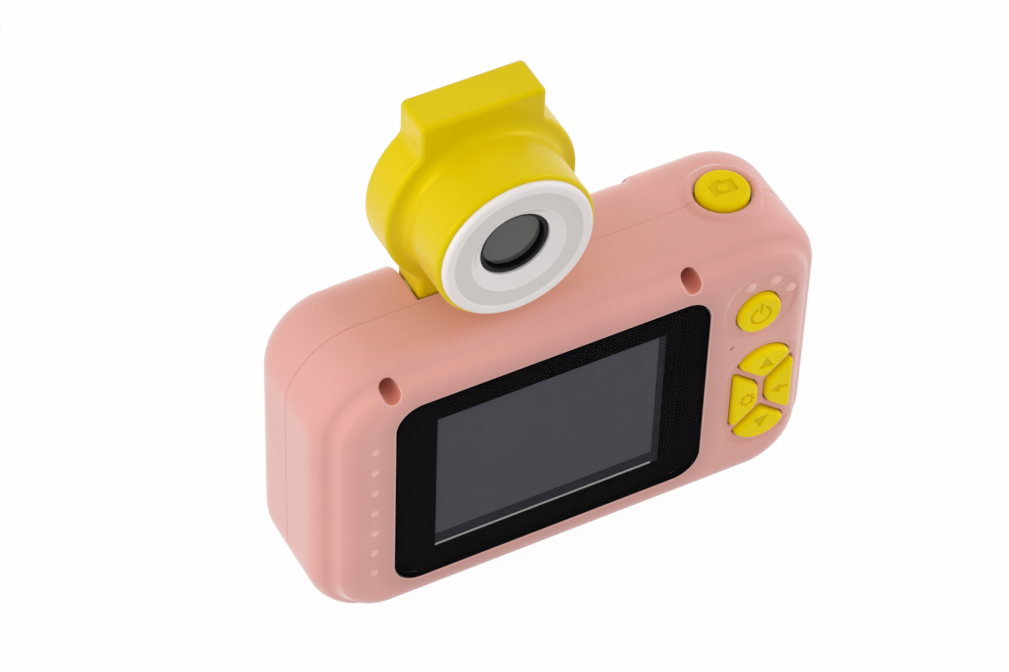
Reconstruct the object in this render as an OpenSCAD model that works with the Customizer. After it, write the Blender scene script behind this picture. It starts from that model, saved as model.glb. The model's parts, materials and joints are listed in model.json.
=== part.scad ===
// Toy camera with a lens head that flips over the top of the case.
// Millimetres. +Z is up, +X is to the right of the screen, and the screen faces -Y.
// The origin is at the middle of the base, in the plane of the parting line.

/* [Case] */
// Width of the case
body_w = 107; // [104:0.5:125]
// Height of the case
body_h = 66; // [65:0.5:80]
// Depth of the case
body_d = 33; // [32:0.5:40]
// Radius of the corners, seen from the screen side
corner_r = 14.5; // [13:0.5:17]
// Thickness of the case walls
wall = 2; // [1.6:0.1:2.4]
// Radius of the edges round the front
front_edge_r = 8.5; // [7:0.5:10]
// Radius of the shoulder round the rear
shoulder_r = 5; // [4:0.5:6]
// Height of the raised rear face over its shoulder
shoulder_drop = 3.1; // [2.6:0.1:3.4]
// Inset of the raised rear face from the sides
plateau_inset = 2.1; // [1.8:0.1:2.4]
// Edge radius of the raised rear face
plateau_r = 6.2; // [5.6:0.1:6.8]
// Radius of the edges inside the rear
rear_inner_r = 7; // [6:0.5:8]
// Height of the grip over the rest of the front
grip_rise = 0.8; // [0.4:0.1:1.2]
// Width of the grip, from the right side of the case
grip_w = 28.4; // [24:0.2:29]

/* [Screen] */
// Distance from the right side of the case to the panel
panel_right = 26.2; // [25.5:0.1:28]
// Distance from the top of the case to the panel
panel_top = 8.3; // [8:0.1:9.5]
// Corner radius of the screen panel
panel_r = 5.5; // [3:0.5:7]
// Distance from the left side of the case to the panel
panel_left = 14.8; // [13.5:0.1:16]
// Height of the panel above the base
panel_base = 9.7; // [8:0.1:11]
// Distance from the left side of the panel to the window
window_left = 8.9; // [7:0.1:9.4]
// Distance from the right side of the panel to the window
window_right = 8.5; // [8:0.1:10]
// Distance from the lower side of the panel to the window
window_base = 5.4; // [5:0.1:7]
// Distance from the upper side of the panel to the window
window_top = 6.8; // [5:0.1:7.2]
// Thickness of the window plate
cover_t = 1.2; // [0.8:0.1:1.4]
// Thickness of the printed mask
mask_t = 0.3; // [0.2:0.05:0.4]
// Rim of the display module at each side of the window
lcd_side = 5.8; // [4:0.1:6]
// Rim of the display module over and under the window
lcd_rim = 3.5; // [2:0.1:3.7]
// Thickness of the display cell
lcd_t = 1.1; // [0.8:0.1:1.3]
// Thickness of the backlight
backlight_t = 1.4; // [1.1:0.1:1.6]

/* [Keys] */
// Distance from the right side of the case to the middle of the keys
keys_inset = 13.1; // [12.5:0.1:15]
// Height of the middle of the navigation keys, as a share of the height of the case
keys_share = 0.3925; // [0.38:0.0005:0.42]
// Half width of the group of navigation keys
nav_r = 6.5; // [6:0.1:7]
// Half length of the straight sides of the group
nav_half = 5.8; // [5.5:0.1:6.5]
// Slope of the gaps between the keys
nav_slope = 0.85; // [0.8:0.05:1]
// Height over the middle at which the upper key begins
nav_apex = 4.2; // [4:0.1:4.8]
// Height over the middle at which the side keys end
nav_waist = 1.9; // [1.4:0.1:2.2]
// Gap between the middle line and the side keys
nav_mid = 1; // [0.7:0.1:1.3]
// Radius of the power button
power_r = 4.6; // [4:0.1:5]
// Distance of the power button left of the key column
power_dx = 2.3; // [1:0.1:3]
// Height of the power button, as a share of the height of the case
power_share = 0.7432; // [0.73:0.0004:0.775]
// Height of the keys over the rear face
key_rise = 0.9; // [0.6:0.1:1.2]
// Travel of the rear keys
key_travel = 0.5; // [0.3:0.05:0.6]
// Radius of the shutter button
shutter_r = 5.3; // [4.5:0.1:6]
// Distance from the right side of the case to the shutter button
shutter_inset = 15.2; // [15:0.1:18]
// Height of the shutter button over the top
shutter_rise = 1.6; // [1.2:0.1:2.2]
// Travel of the shutter button
shutter_travel = 0.8; // [0.5:0.1:1]

/* [Trim] */
// Number of raised dots beside the screen
dot_count = 7; // [3:1:7]
// Distance that the column of dots is shorter than the panel
dot_margin = 13.98; // [13:0.1:20]
// Height of the lowest dot
dot_base = 15.9; // [14:0.1:18]
// Distance from the panel to the dots
dot_gap = 4.65; // [3.5:0.1:5]
// Radius of the raised dots
dot_r = 0.85; // [0.6:0.05:1.1]
// Radius of the strap holes
strap_r = 1.7; // [1.5:0.1:2.2]
// Depth of the strap holes below the top
strap_drop = 4; // [3.8:0.1:5]
// Place of the left strap hole from the left side of the panel
strap_left_dx = -0.5; // [-1.5:0.1:0]
// Place of the right strap hole from the right side of the panel
strap_right_dx = -3.6; // [-6:0.1:-3]

/* [Head] */
// Distance from the left side of the case to the round plate
head_side = 21.2; // [20.6:0.1:22]
// Radius of the round plate
head_r = 19.6; // [18.5:0.1:20]
// Width of the hump and of the foot
hump_w = 25.2; // [22:0.2:26]
// Height of the hump over the round plate
hump_over = 3.1; // [2.4:0.1:3.6]
// Thickness of the plate
plate_t = 9.2; // [8.6:0.1:9.6]
// Radius of the inside corners beside the hump and the foot
hump_fillet = 3; // [2.4:0.1:3.4]
// Distance from the parting line to the plate
head_setback = 1.25; // [1.2:0.05:1.6]
// Gap between the case and the round plate
plate_rise = 0.1; // [0.05:0.05:0.5]
// Distance from the edge of the round plate to the lens barrel
barrel_step = 3.4; // [3:0.1:3.8]
// Length of the lens barrel in front of the plate
barrel_l = 13.25; // [12.5:0.05:14]
// Wall of the head shell
head_wall = 1.6; // [1.4:0.1:1.8]
// Distance from the edge of the barrel to the white ring
ring_step = 0.9; // [0.6:0.1:1.2]
// Thickness of the white ring in front of the barrel
ring_t = 1.3; // [1:0.1:1.6]
// Radius of the wide end of the cone, in a ring of full size
cone_full_r = 9.2; // [8.5:0.1:10]
// Radius of the lens opening, in a ring of full size
lens_full_r = 7.1; // [6.6:0.1:7.5]

/* [Hinge] */
// Depth of the hinge axis below the top
hinge_drop = 4.1; // [4:0.05:4.4]
// Radius of the hinge lugs
lug_r = 8.2; // [7.6:0.1:8.2]
// Radius of the solid hinge pin
pin_r = 1.5; // [1.2:0.1:1.8]
// Outer radius of the hollow hinge pin
cable_pin_r = 2.4; // [2.1:0.1:2.6]
// Reach of the pins into the lugs
pin_reach = 6; // [4:0.5:7]
// Gap between the head and the case
head_gap = 0.35; // [0.3:0.05:0.4]
// Gap at each side of the foot
side_gap = 0.45; // [0.4:0.05:0.5]

/* [Fits] */
// Gap round the keys
key_gap = 0.25; // [0.2:0.05:0.3]
// Gap of running fits
run_gap = 0.05; // [0.03:0.01:0.08]
// Gap of seated pieces
seat_gap = 0.05; // [0.02:0.01:0.1]

/* [Hidden] */
$fn = 64;

// Colours
pink = [0.93, 0.66, 0.63];
yellow = [0.94, 0.83, 0.06];
white = [0.90, 0.89, 0.88];
black = [0.05, 0.05, 0.06];
board_green = [0.09, 0.33, 0.19];
steel = [0.70, 0.70, 0.72];

// Spare length that lets a cut pass right through a wall
over = 1;

// Case levels
y_rear = -body_d / 2;
y_front = body_d / 2;
y_rear_in = y_rear + wall;
y_front_in = y_front - grip_rise - wall;
x_left = -body_w / 2;
x_right = body_w / 2;
grip_x = x_right - grip_w;

// Screws that hold the case halves together
case_boss_inset = 5.5;
case_boss_z = 12;
case_boss_r = 2.6;
front_boss_r = 3.25;
case_screw_r = 1.1;
case_screw_reach = 6;
case_head_r = 2;
case_head_t = 1.55;
case_head_sink = 5.05;
case_head_y = y_front - case_head_sink;
case_places = [for (side = [-1, 1], z = [case_boss_z, body_h - case_boss_z])
               [side * (x_right - case_boss_inset), z]];

// Screen stack, counted from the rear face inwards
panel_x = x_left + panel_left;
panel_z = panel_base;
panel_w = body_w - panel_left - panel_right;
panel_h = body_h - panel_base - panel_top;
dot_pitch = (panel_h - dot_margin) / (dot_count - 1);
panel_gap = 0.15;
window_x = panel_x + window_left;
window_z = panel_z + window_base;
window_w = panel_w - window_left - window_right;
window_h = panel_h - window_base - window_top;
y_mask = y_rear + cover_t;
y_ledge = y_mask + mask_t;
lcd_x = window_x - lcd_side;
lcd_z = window_z - lcd_rim;
lcd_w = window_w + 2 * lcd_side;
lcd_h = window_h + 2 * lcd_rim;
lcd_gap = 0.3;
y_lcd = y_ledge + seat_gap;
y_backlight = y_lcd + lcd_t;
y_cushion = y_backlight + backlight_t;
cushion_t = 2.05;
cushion_margin = 5;
lcd_frame_w = 1.5;

// Main board
y_board = y_cushion + cushion_t;
board_t = 1.2;
y_board_top = y_board + board_t;
board_side = 6;
board_w = body_w - 2 * (wall + board_side);
board_lift = 1.2;
board_base = board_lift + wall;
board_top = 5.5;
board_h = body_h - board_base - wall - board_top;
board_corner_r = corner_r - wall - board_lift;
board_post_r = 1.8;
board_screw_r = 0.8;
board_screw_reach = 2.8;
board_head_r = 1.6;
board_head_t = 1;
post_left_gap = 1.8;
post_right_gap = 1.4;
post_low_gap = 9;
post_high_gap = 8.5;
post_left_x = panel_x - post_left_gap;
post_right_x = panel_x + panel_w + post_right_gap;
post_low_z = panel_z + post_low_gap;
post_high_z = panel_z + panel_h - post_high_gap;
board_places = [for (x = [post_left_x, post_right_x], z = [post_low_z, post_high_z]) [x, z]];

// Keys on the rear
keys_x = x_right - keys_inset;
keys_z = keys_share * body_h;
power_x = keys_x - power_dx;
power_z = power_share * body_h;
key_flange = 0.5;
key_flange_t = 0.9;
key_stop_gap = 0.1;
y_key_flange = y_rear_in + key_stop_gap;
key_stem_r = 1.2;
y_key_stem = y_key_flange + key_flange_t;
switch_w = 4.2;
switch_h = 1.9;
plunger_r = 1;
y_switch = y_board - switch_h;
plunger_room = 0.2;
plunger_sink = key_travel + plunger_room;
plunger_rise = 0.75;
plunger_root = 0.3;
y_plunger = y_switch - plunger_rise;
stem_l = y_plunger - y_key_stem;
nav_side_x = (nav_mid + nav_r) / 2;
nav_end_z = (nav_apex + nav_half + nav_r) / 2;
nav_dish = 1.5;
nav_dish_t = 0.3;
power_dish = 3.1;
power_dish_r = power_r + power_dish;
power_dish_t = 0.5;
power_dish_dx = 0.4;
power_dish_dz = 2;
toe_r = 1.25;
toe_gap = 3.1;
toe_orbit = power_r + toe_gap;
toe_angles = [106, 65, 27];
dome_share = 0.45;

// Microphone behind its slit
mic_dx = 5.35;
mic_drop = 7.6;
mic_x = power_x - mic_dx;
mic_z = power_z - mic_drop;
mic_r = 2;
mic_t = 1.8;
mic_slit_w = 0.9;
mic_slit_h = 0.4;
mic_slit_tilt = 35;

// Shutter button and its switch
shutter_x = x_right - shutter_inset;
rim_r = 1;
rim_gap = 1.3;
rim_orbit = shutter_r + rim_gap;
rim_sink = 0.2;
shutter_flange = 0.9;
shutter_flange_t = 1.4;
z_top_in = body_h - wall;
z_shutter_flange = z_top_in - key_stop_gap - shutter_flange_t;
shutter_stem_r = 1.6;
shutter_stem_l = 2;
z_shutter_plunger = z_shutter_flange - shutter_stem_l;
shutter_plunger_r = 1.6;
shutter_plunger_rise = 1.2;
shutter_plunger_sink = shutter_travel + plunger_room;
shutter_switch_w = 6;
shutter_switch_h = 3;
z_shutter_switch = z_shutter_plunger - shutter_plunger_rise - shutter_switch_h;
shutter_board_w = 13;
shutter_board_y = -4;
shutter_board_d = 12;
shutter_board_t = 1.2;
z_shutter_board = z_shutter_switch - shutter_board_t;
shelf_t = 1.4;
shelf_y = 0.2;

// Strap tunnels
strap_places = [panel_x + strap_left_dx, panel_x + panel_w + strap_right_dx];
strap_z = body_h - strap_drop;
strap_sleeve_t = 1.4;
strap_sleeve_r = strap_r + strap_sleeve_t;

// Head, measured from the hinge axis along the head
head_x = x_left + head_side + head_r;
hinge_z = body_h - hinge_drop;
hinge_y = head_setback + plate_t / 2;
lens_v = head_r + plate_rise + hinge_drop;
hump_v = lens_v + head_r + hump_over;
barrel_r = head_r - barrel_step;
ring_r = barrel_r - ring_step;
// The cone and the lens keep their share of the ring
ring_full_r = 15.3;
cone_r = cone_full_r * ring_r / ring_full_r;
lens_r = lens_full_r * ring_r / ring_full_r;
foot_half = hump_w / 2;
lens_z = hinge_z + lens_v;
y_plate = head_setback;
y_plate_far = head_setback + plate_t;
y_barrel = y_plate - barrel_l;
y_ring = y_barrel - ring_t;
y_head_in = y_plate + head_wall;
slot_half = foot_half + side_gap;
recess_half = head_r + side_gap;
tub_wall = 1.5;
tub_floor = 0.8;
y_recess = y_plate - head_gap;
y_tub = y_recess - tub_floor;
foot_solid = 8;
barrel_wall = 2.4;
barrel_lip = 0.9;
barrel_in_r = barrel_r - barrel_wall;
spigot_r = barrel_in_r - barrel_lip;
spigot_wall = 1.5;
spigot_l = 2.4;
barrel_lip_t = 1.5;
ring_round = 0.8;
cone_t = 2;

// Lens parts, from the ring inwards
bezel_wall = 0.85;
bezel_l = 3.6;
bezel_sink = 0.3;
y_bezel = y_ring + cone_t + bezel_sink;
glass_r = lens_r - seat_gap - bezel_wall - seat_gap;
glass_t = 1;
glass_sink = 1.6;
y_glass = y_bezel + glass_sink;
cell_gap = 0.1;
cell_r = glass_r - cell_gap;
y_cell = y_glass + glass_t;
sensor_board_edge = 1.2;
board_r = barrel_in_r + sensor_board_edge;
sensor_board_t = 1.2;
y_sensor_board = y_head_in + seat_gap;
sensor_w = 8;
sensor_t = 1.2;
holder_wall = 1.5;
holder_w = 2 * (cell_r + holder_wall);
holder_reach = 6;
y_holder = y_sensor_board - holder_reach;
sensor_room = 1;
cell_l = y_sensor_board - sensor_t - sensor_room - y_cell;

// Head cover and its screws
cover_gap = 0.05;
head_cover_t = 1.5;
y_head_cover = y_plate_far - head_cover_t;
head_boss_r = 1.9;
head_boss_side = 3.6;
head_boss_low = 2.4;
head_boss_high = 4.7;
head_boss_u = foot_half - head_boss_side;
head_boss_low_v = foot_solid + head_boss_low;
head_boss_high_v = hump_v - head_boss_high;
head_places = [for (u = [-1, 1], v = [head_boss_low_v, head_boss_high_v]) [u * head_boss_u, v]];
head_screw_r = 0.8;
head_screw_reach = 3.4;
head_screw_head_r = 1.6;
head_screw_head_t = 0.8;
post_r = 1.5;
post_u = 10;

// Hinge pins and cable
pin_root = 8;
cable_r = 0.8;
cable_bore_r = 1.5;
cable_u = -3;
cable_gap = 0.3;
washer_gap = 0.1;
washer_t = side_gap - washer_gap;
washer_r = 3.6;
plug_w = 7;
plug_h = 3;
plug_rim = 0.2;
plug_t = hinge_y + cable_r + plug_rim - y_sensor_board - sensor_board_t;
plug_rise = 3;
plug_v = foot_solid + plug_rise;
cable_wall_gap = 0.15;
cable_out_x = head_x - recess_half - tub_wall - cable_r - cable_wall_gap;
cable_drop = 12;
cable_turn_z = hinge_z - cable_drop;
socket_t = 2;
socket_w = 6;
socket_h = 4;

// Pieces on the main board
pad_t = 1;
pad_margin = 4;
part_gap = 0.5;
card_h = 14;
battery_low = 3;
battery_high = 11.8;
battery_room = 2.35;
battery_w = 36;
battery_x = cable_out_x + socket_w / 2 + part_gap;
battery_z = board_base + card_h + battery_low;
battery_h = body_h - battery_z - battery_high;
battery_t = y_tub - y_board_top - pad_t - battery_room;
usb_w = 9;
usb_h = 7.4;
usb_t = 3.2;
usb_shell = 0.4;
usb_left = 29;
usb_x = x_left + usb_left;
card_w = 14;
card_t = 1.6;
card_shell = 0.3;
card_right = 49.5;
card_x = x_right - card_right;
port_gap = 0.3;
chip_gap = 3.7;
chip_x = battery_x + battery_w + chip_gap;
chip_rise = 7.8;
chip_z = battery_z + chip_rise;
chip_w = 10;
chip_t = 1.2;
memory_x = chip_x;
memory_rise = 2;
memory_z = chip_z + chip_w + memory_rise;
memory_w = 8;
memory_h = 6;
memory_t = 1;
flex_w = 20;
flex_t = 0.2;
flex_drop = 2.2;

// Speaker in the front half
speaker_r = 6;
speaker_t = 3.8;
speaker_inset = 10.5;
speaker_x = x_left + speaker_inset;
speaker_z = body_h / 2;
speaker_seat = 1;
speaker_room = 2;
y_speaker_seat = y_front_in - speaker_room;
sound_r = 0.6;
sound_orbit = 2.6;
sound_count = 6;

// Basic forms

// Profile of a wall that ends in a rounded edge
module edge_profile(reach, depth, edge_r) difference() {
    square([reach, depth]);
    translate([reach - edge_r, depth - edge_r]) difference() {
        square(edge_r + over);
        circle(edge_r);
    }
}

// Flat rounded rectangle with its lower left corner at the origin
module rounded_rect(w, h, r) {
    translate([r, 0]) square([w - 2 * r, h]);
    translate([0, r]) square([w, h - 2 * r]);
    for (x = [r, w - r], y = [r, h - r]) translate([x, y]) circle(r);
}

// Half of a pillow-shaped case: flat at Z 0, rounded at Z depth
module rounded_half(w, h, depth, r, edge_r) {
    sides = [[w / 2 - r, 0, h - 2 * r], [0, h / 2 - r, w - 2 * r],
             [r - w / 2, 0, h - 2 * r], [0, r - h / 2, w - 2 * r]];
    corners = [[1, 1], [-1, 1], [-1, -1], [1, -1]];
    translate([0, h / 2, 0]) {
        translate([r - w / 2, r - h / 2, 0]) cube([w - 2 * r, h - 2 * r, depth]);
        for (i = [0:3]) {
            translate([sides[i][0], sides[i][1], 0])
                rotate(90 * i) rotate([90, 0, 0])
                    linear_extrude(sides[i][2], center = true) edge_profile(r, depth, edge_r);
            translate([corners[i][0] * (w / 2 - r), corners[i][1] * (h / 2 - r), 0])
                rotate(90 * i) rotate_extrude(angle = 90) edge_profile(r, depth, edge_r);
        }
    }
}

// Local Z becomes -Y, local Y becomes Z
module to_rear() rotate([90, 0, 0]) children();

// Local Z becomes +Y, local Y becomes Z
module to_front() mirror([0, 1, 0]) rotate([90, 0, 0]) children();

// A flat shape in X and Z, thick from y to y + t
module slab(y, t) translate([0, y + t, 0]) rotate([90, 0, 0]) linear_extrude(t) children();

// A round bar along Y
module bar_y(x, y, z, r, length) translate([x, y, z]) rotate([-90, 0, 0]) cylinder(h = length, r = r);

// A round bar along X
module bar_x(x, y, z, r, length) translate([x, y, z]) rotate([0, 90, 0]) cylinder(h = length, r = r);

// A shallow dome that stands out of a face towards -Y
module dome_y(x, y, z, r) {
    rise = r * dome_share;
    ball_r = (r * r + rise * rise) / (2 * rise);
    translate([x, y + ball_r - rise, z]) sphere(ball_r);
}

// Case halves

module rear_outer() to_rear() {
    rounded_half(body_w, body_h, body_d / 2 - shoulder_drop, corner_r, shoulder_r);
    translate([0, plateau_inset, 0])
        rounded_half(body_w - 2 * plateau_inset, body_h - 2 * plateau_inset, body_d / 2,
                     corner_r - plateau_inset, plateau_r);
}

module rear_cavity() to_rear() translate([0, wall, -over])
    rounded_half(body_w - 2 * wall, body_h - 2 * wall, body_d / 2 - wall + over,
                 corner_r - wall, rear_inner_r);

module front_blank(depth) to_front() rounded_half(body_w, body_h, depth, corner_r, front_edge_r);

// Front of the case, with the grip beside the head raised a little
module front_outer() {
    front_blank(body_d / 2 - grip_rise);
    intersection() {
        front_blank(body_d / 2);
        translate([grip_x, 0, 0]) cube([grip_w, body_d, body_h]);
    }
}

module front_cavity() to_front() translate([0, wall, -over])
    rounded_half(body_w - 2 * wall, body_h - 2 * wall, y_front_in + over,
                 corner_r - wall, front_edge_r - wall);

module strap_sleeves(y, length) for (x = strap_places) bar_y(x, y, strap_z, strap_sleeve_r, length);

module strap_bores(y, length) for (x = strap_places) bar_y(x, y, strap_z, strap_r, length);

// Frame inside the rear wall that keeps the display in place
module lcd_frame() slab(y_rear_in, y_backlight - y_rear_in)
    translate([lcd_x - lcd_gap - lcd_frame_w, lcd_z - lcd_gap - lcd_frame_w])
        square([lcd_w + 2 * (lcd_gap + lcd_frame_w), lcd_h + 2 * (lcd_gap + lcd_frame_w)]);

module lcd_opening() slab(y_ledge, body_d / 2)
    translate([lcd_x - lcd_gap, lcd_z - lcd_gap]) square([lcd_w + 2 * lcd_gap, lcd_h + 2 * lcd_gap]);

module panel_outline(gap) translate([panel_x - gap, panel_z - gap])
    rounded_rect(panel_w + 2 * gap, panel_h + 2 * gap, panel_r + gap);

// Outline of the navigation keys as a group
module nav_group(gap) {
    square([2 * (nav_r + gap), 2 * nav_half], center = true);
    for (side = [-1, 1]) translate([0, side * nav_half]) circle(nav_r + gap);
}

// Outline of one key: turn 0 up, 1 left, 2 down, 3 right
module nav_outline(turn, gap) {
    reach = 2 * nav_r + nav_half;
    ease = gap * sqrt(1 + nav_slope * nav_slope);
    tip = nav_apex - ease;
    inner = nav_mid - gap;
    waist = nav_waist + ease;
    flip = turn < 2 ? 1 : -1;
    intersection() {
        nav_group(gap);
        if (turn % 2 == 0)
            polygon([[0, flip * tip], [reach, flip * (tip + nav_slope * reach)],
                     [0, flip * 2 * reach], [-reach, flip * (tip + nav_slope * reach)]]);
        else
            polygon([[-flip * inner, waist + nav_slope * inner],
                     [-flip * reach, waist + nav_slope * reach],
                     [-flip * reach, -waist - nav_slope * reach],
                     [-flip * inner, -waist - nav_slope * inner]]);
    }
}

// Middle of one key's switch
function nav_centre(turn) =
    [keys_x + (turn == 1 ? -nav_side_x : turn == 3 ? nav_side_x : 0),
     keys_z + (turn == 0 ? nav_end_z : turn == 2 ? -nav_end_z : 0)];

module nav_openings() {
    for (turn = [0:3]) slab(y_rear - over, wall + 2 * over)
        translate([keys_x, keys_z]) nav_outline(turn, key_gap);
    slab(y_rear - over, over + nav_dish_t) translate([keys_x, keys_z]) nav_group(nav_dish);
}

// Room for the flanges of the rear keys where the wall curves inwards
module flange_pockets() {
    depth = key_stop_gap + key_flange_t + key_travel + key_gap;
    for (turn = [0:3]) slab(y_rear_in, depth)
        translate([keys_x, keys_z]) nav_outline(turn, key_flange + key_gap);
    bar_y(power_x, y_rear_in, power_z, power_r + key_flange + key_gap, depth);
}

module power_opening() {
    bar_y(power_x, y_rear - over, power_z, power_r + key_gap, wall + 2 * over);
    bar_y(power_x + power_dish_dx, y_rear - over, power_z + power_dish_dz, power_dish_r,
          over + power_dish_t);
}

module toes() for (a = toe_angles)
    dome_y(power_x + toe_orbit * cos(a), y_rear + power_dish_t, power_z + toe_orbit * sin(a), toe_r);

module dots() for (i = [0:dot_count - 1])
    dome_y(panel_x - dot_gap, y_rear, dot_base + i * dot_pitch, dot_r);

// Raised rim round the shutter button, half on each case half
module shutter_rim(side) translate([shutter_x, 0, body_h - rim_sink]) rotate(side < 0 ? 180 : 0)
    rotate_extrude(angle = 180) translate([rim_orbit, 0]) circle(rim_r);

module shutter_bore() translate([shutter_x, 0, body_h - 2 * wall])
    cylinder(h = 4 * wall, r = shutter_r + key_gap);

// Room for the flange of the shutter button where the top curves down
module shutter_pocket() {
    depth = key_stop_gap + shutter_flange_t + shutter_travel + key_gap;
    translate([shutter_x, 0, z_top_in - depth])
        cylinder(h = depth, r = shutter_r + shutter_flange + key_gap);
}

module mic_slit() translate([mic_x, y_rear, mic_z]) rotate([0, -mic_slit_tilt, 0])
    cube([mic_slit_w, 4 * wall, mic_slit_h], center = true);

// Openings in the base for the charging socket and the memory card
module port_openings() {
    translate([usb_x - port_gap, y_board_top - port_gap, -over])
        cube([usb_w + 2 * port_gap, usb_t + 2 * port_gap, board_base + 2 * over]);
    translate([card_x - port_gap, y_board_top - port_gap, -over])
        cube([card_w + 2 * port_gap, card_t + 2 * port_gap, board_base + 2 * over]);
}

module rear_case() color(pink) difference() {
    union() {
        difference() {
            rear_outer();
            rear_cavity();
        }
        intersection() {
            rear_outer();
            union() {
                strap_sleeves(y_rear, body_d / 2);
                for (p = case_places) bar_y(p[0], y_rear, p[1], case_boss_r, -y_rear);
            }
        }
        for (p = board_places)
            bar_y(p[0], y_rear_in - wall / 2, p[1], board_post_r, y_board - y_rear_in + wall / 2);
        lcd_frame();
        dots();
        shutter_rim(-1);
    }
    slab(y_rear - over, over + cover_t + mask_t) panel_outline(panel_gap);
    lcd_opening();
    nav_openings();
    flange_pockets();
    difference() {
        power_opening();
        toes();
    }
    shutter_bore();
    shutter_pocket();
    strap_bores(y_rear - over, body_d / 2 + 2 * over);
    mic_slit();
    port_openings();
    for (p = case_places)
        bar_y(p[0], -case_screw_reach - over, p[1], case_screw_r + seat_gap, case_screw_reach + 2 * over);
    for (p = board_places)
        bar_y(p[0], y_board - board_screw_reach - over / 2, p[1], board_screw_r + seat_gap,
              board_screw_reach + over);
}

// Flat outline of the head in (u, v): v runs from the hinge axis to the hump
module head_outline(grow) {
    lift = sqrt(pow(head_r + hump_fillet, 2) - pow(foot_half + hump_fillet, 2));
    reach = head_r + hump_fillet;
    touch = (head_r + grow) / reach;
    translate([0, lens_v]) {
        circle(head_r + grow);
        for (su = [-1, 1], sv = [-1, 1]) difference() {
            polygon([[0, 0], [su * (foot_half + hump_fillet) * touch, sv * lift * touch],
                     [su * (foot_half + hump_fillet), sv * lift],
                     [su * (foot_half + grow), sv * lift], [0, sv * lift]]);
            translate([su * (foot_half + hump_fillet), sv * lift]) circle(hump_fillet - grow);
        }
    }
    translate([-foot_half - grow, 0]) square([2 * (foot_half + grow), hump_v + grow]);
}

// Places a flat head shape so that it stands up from the hinge, thick from y to y + t
module head_slab(y, t) translate([head_x, 0, hinge_z]) slab(y, t) children();

// The same shape folded down into the front
module folded_slab(y, t) translate([head_x, 0, hinge_z]) mirror([0, 0, 1]) slab(y, t) children();

// Wide upper part of the recess, beside the lugs
module recess_top(grow, y, depth) translate([head_x - recess_half - grow, y, hinge_z - lens_v])
    cube([2 * (recess_half + grow), depth, lens_v + hinge_drop + over]);

// Block that becomes the walls round the recess
module tub_block() {
    folded_slab(y_tub, body_d) head_outline(side_gap + tub_wall);
    recess_top(tub_wall, y_tub, body_d);
}

module lugs() {
    lug_w = recess_half + tub_wall - slot_half;
    bar_x(head_x - slot_half - lug_w, hinge_y, hinge_z, lug_r, lug_w);
    bar_x(head_x + slot_half, hinge_y, hinge_z, lug_r, lug_w);
}

module recess_cut() {
    difference() {
        union() {
            folded_slab(y_recess, body_d) head_outline(side_gap);
            recess_top(0, y_recess, body_d);
        }
        lugs();
    }
    translate([head_x - slot_half, y_recess, hinge_z - lug_r])
        cube([2 * slot_half, body_d, lug_r + hinge_drop + 2 * over]);
}

module hinge_bores() {
    bar_x(head_x, hinge_y, hinge_z, pin_r + run_gap, slot_half + pin_reach + run_gap);
    bar_x(head_x - recess_half - tub_wall - over, hinge_y, hinge_z, cable_pin_r + run_gap,
          recess_half + tub_wall + over);
}

module speaker_seat() bar_y(speaker_x, y_speaker_seat, speaker_z, speaker_r + speaker_seat, body_d);

module speaker_cut() {
    bar_y(speaker_x, y_speaker_seat - over, speaker_z, speaker_r - speaker_seat,
          y_front_in - y_speaker_seat + over);
    for (i = [0:sound_count - 1])
        bar_y(speaker_x + sound_orbit * cos(360 * i / sound_count), y_speaker_seat,
              speaker_z + sound_orbit * sin(360 * i / sound_count), sound_r, body_d);
}

// Shelf that carries the board of the shutter switch
module shutter_shelf()
    translate([shutter_x - shutter_board_w / 2, shelf_y, z_shutter_board - shelf_t])
        cube([shutter_board_w, y_front_in - shelf_y + wall / 2, shelf_t]);

module front_case() color(pink) difference() {
    union() {
        difference() {
            front_outer();
            front_cavity();
        }
        intersection() {
            front_outer();
            union() {
                tub_block();
                strap_sleeves(0, body_d);
                speaker_seat();
                for (p = case_places) bar_y(p[0], 0, p[1], front_boss_r, body_d);
            }
        }
        shutter_shelf();
        shutter_rim(1);
    }
    recess_cut();
    hinge_bores();
    speaker_cut();
    shutter_bore();
    shutter_pocket();
    strap_bores(-over, body_d);
    for (p = case_places) {
        bar_y(p[0], -over, p[1], case_screw_r + seat_gap, body_d);
        bar_y(p[0], case_head_y, p[1], case_head_r + seat_gap, body_d);
    }
}

// A screw along Y with its head at +Y and a cross in the head
module screw_y(x, y_head, z, r, length, head_r, head_t) difference() {
    union() {
        bar_y(x, y_head - length, z, r, length);
        bar_y(x, y_head, z, head_r, head_t);
    }
    for (a = [0, 90]) translate([x, y_head + head_t, z]) rotate([0, a, 0])
        cube([head_r * 1.3, head_t, head_r * 0.3], center = true);
}

module case_screws() color(steel) for (p = case_places)
    screw_y(p[0], case_head_y, p[1], case_screw_r, case_head_y + case_screw_reach, case_head_r, case_head_t);

// Screen

module screen_cover() color([0.1, 0.1, 0.11, 0.4]) slab(y_rear, cover_t) panel_outline(0);

module screen_mask() color(black) slab(y_mask, mask_t) difference() {
    panel_outline(0);
    translate([window_x, window_z]) square([window_w, window_h]);
}

module lcd_outline(margin) translate([lcd_x + margin, lcd_z + margin])
    square([lcd_w - 2 * margin, lcd_h - 2 * margin]);

module lcd_glass() color([0.27, 0.27, 0.30]) slab(y_lcd, lcd_t) lcd_outline(0);

module lcd_backlight() color(white) slab(y_backlight, backlight_t) lcd_outline(0);

module lcd_cushion() color([0.2, 0.2, 0.2]) slab(y_cushion, cushion_t) lcd_outline(cushion_margin);

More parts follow.
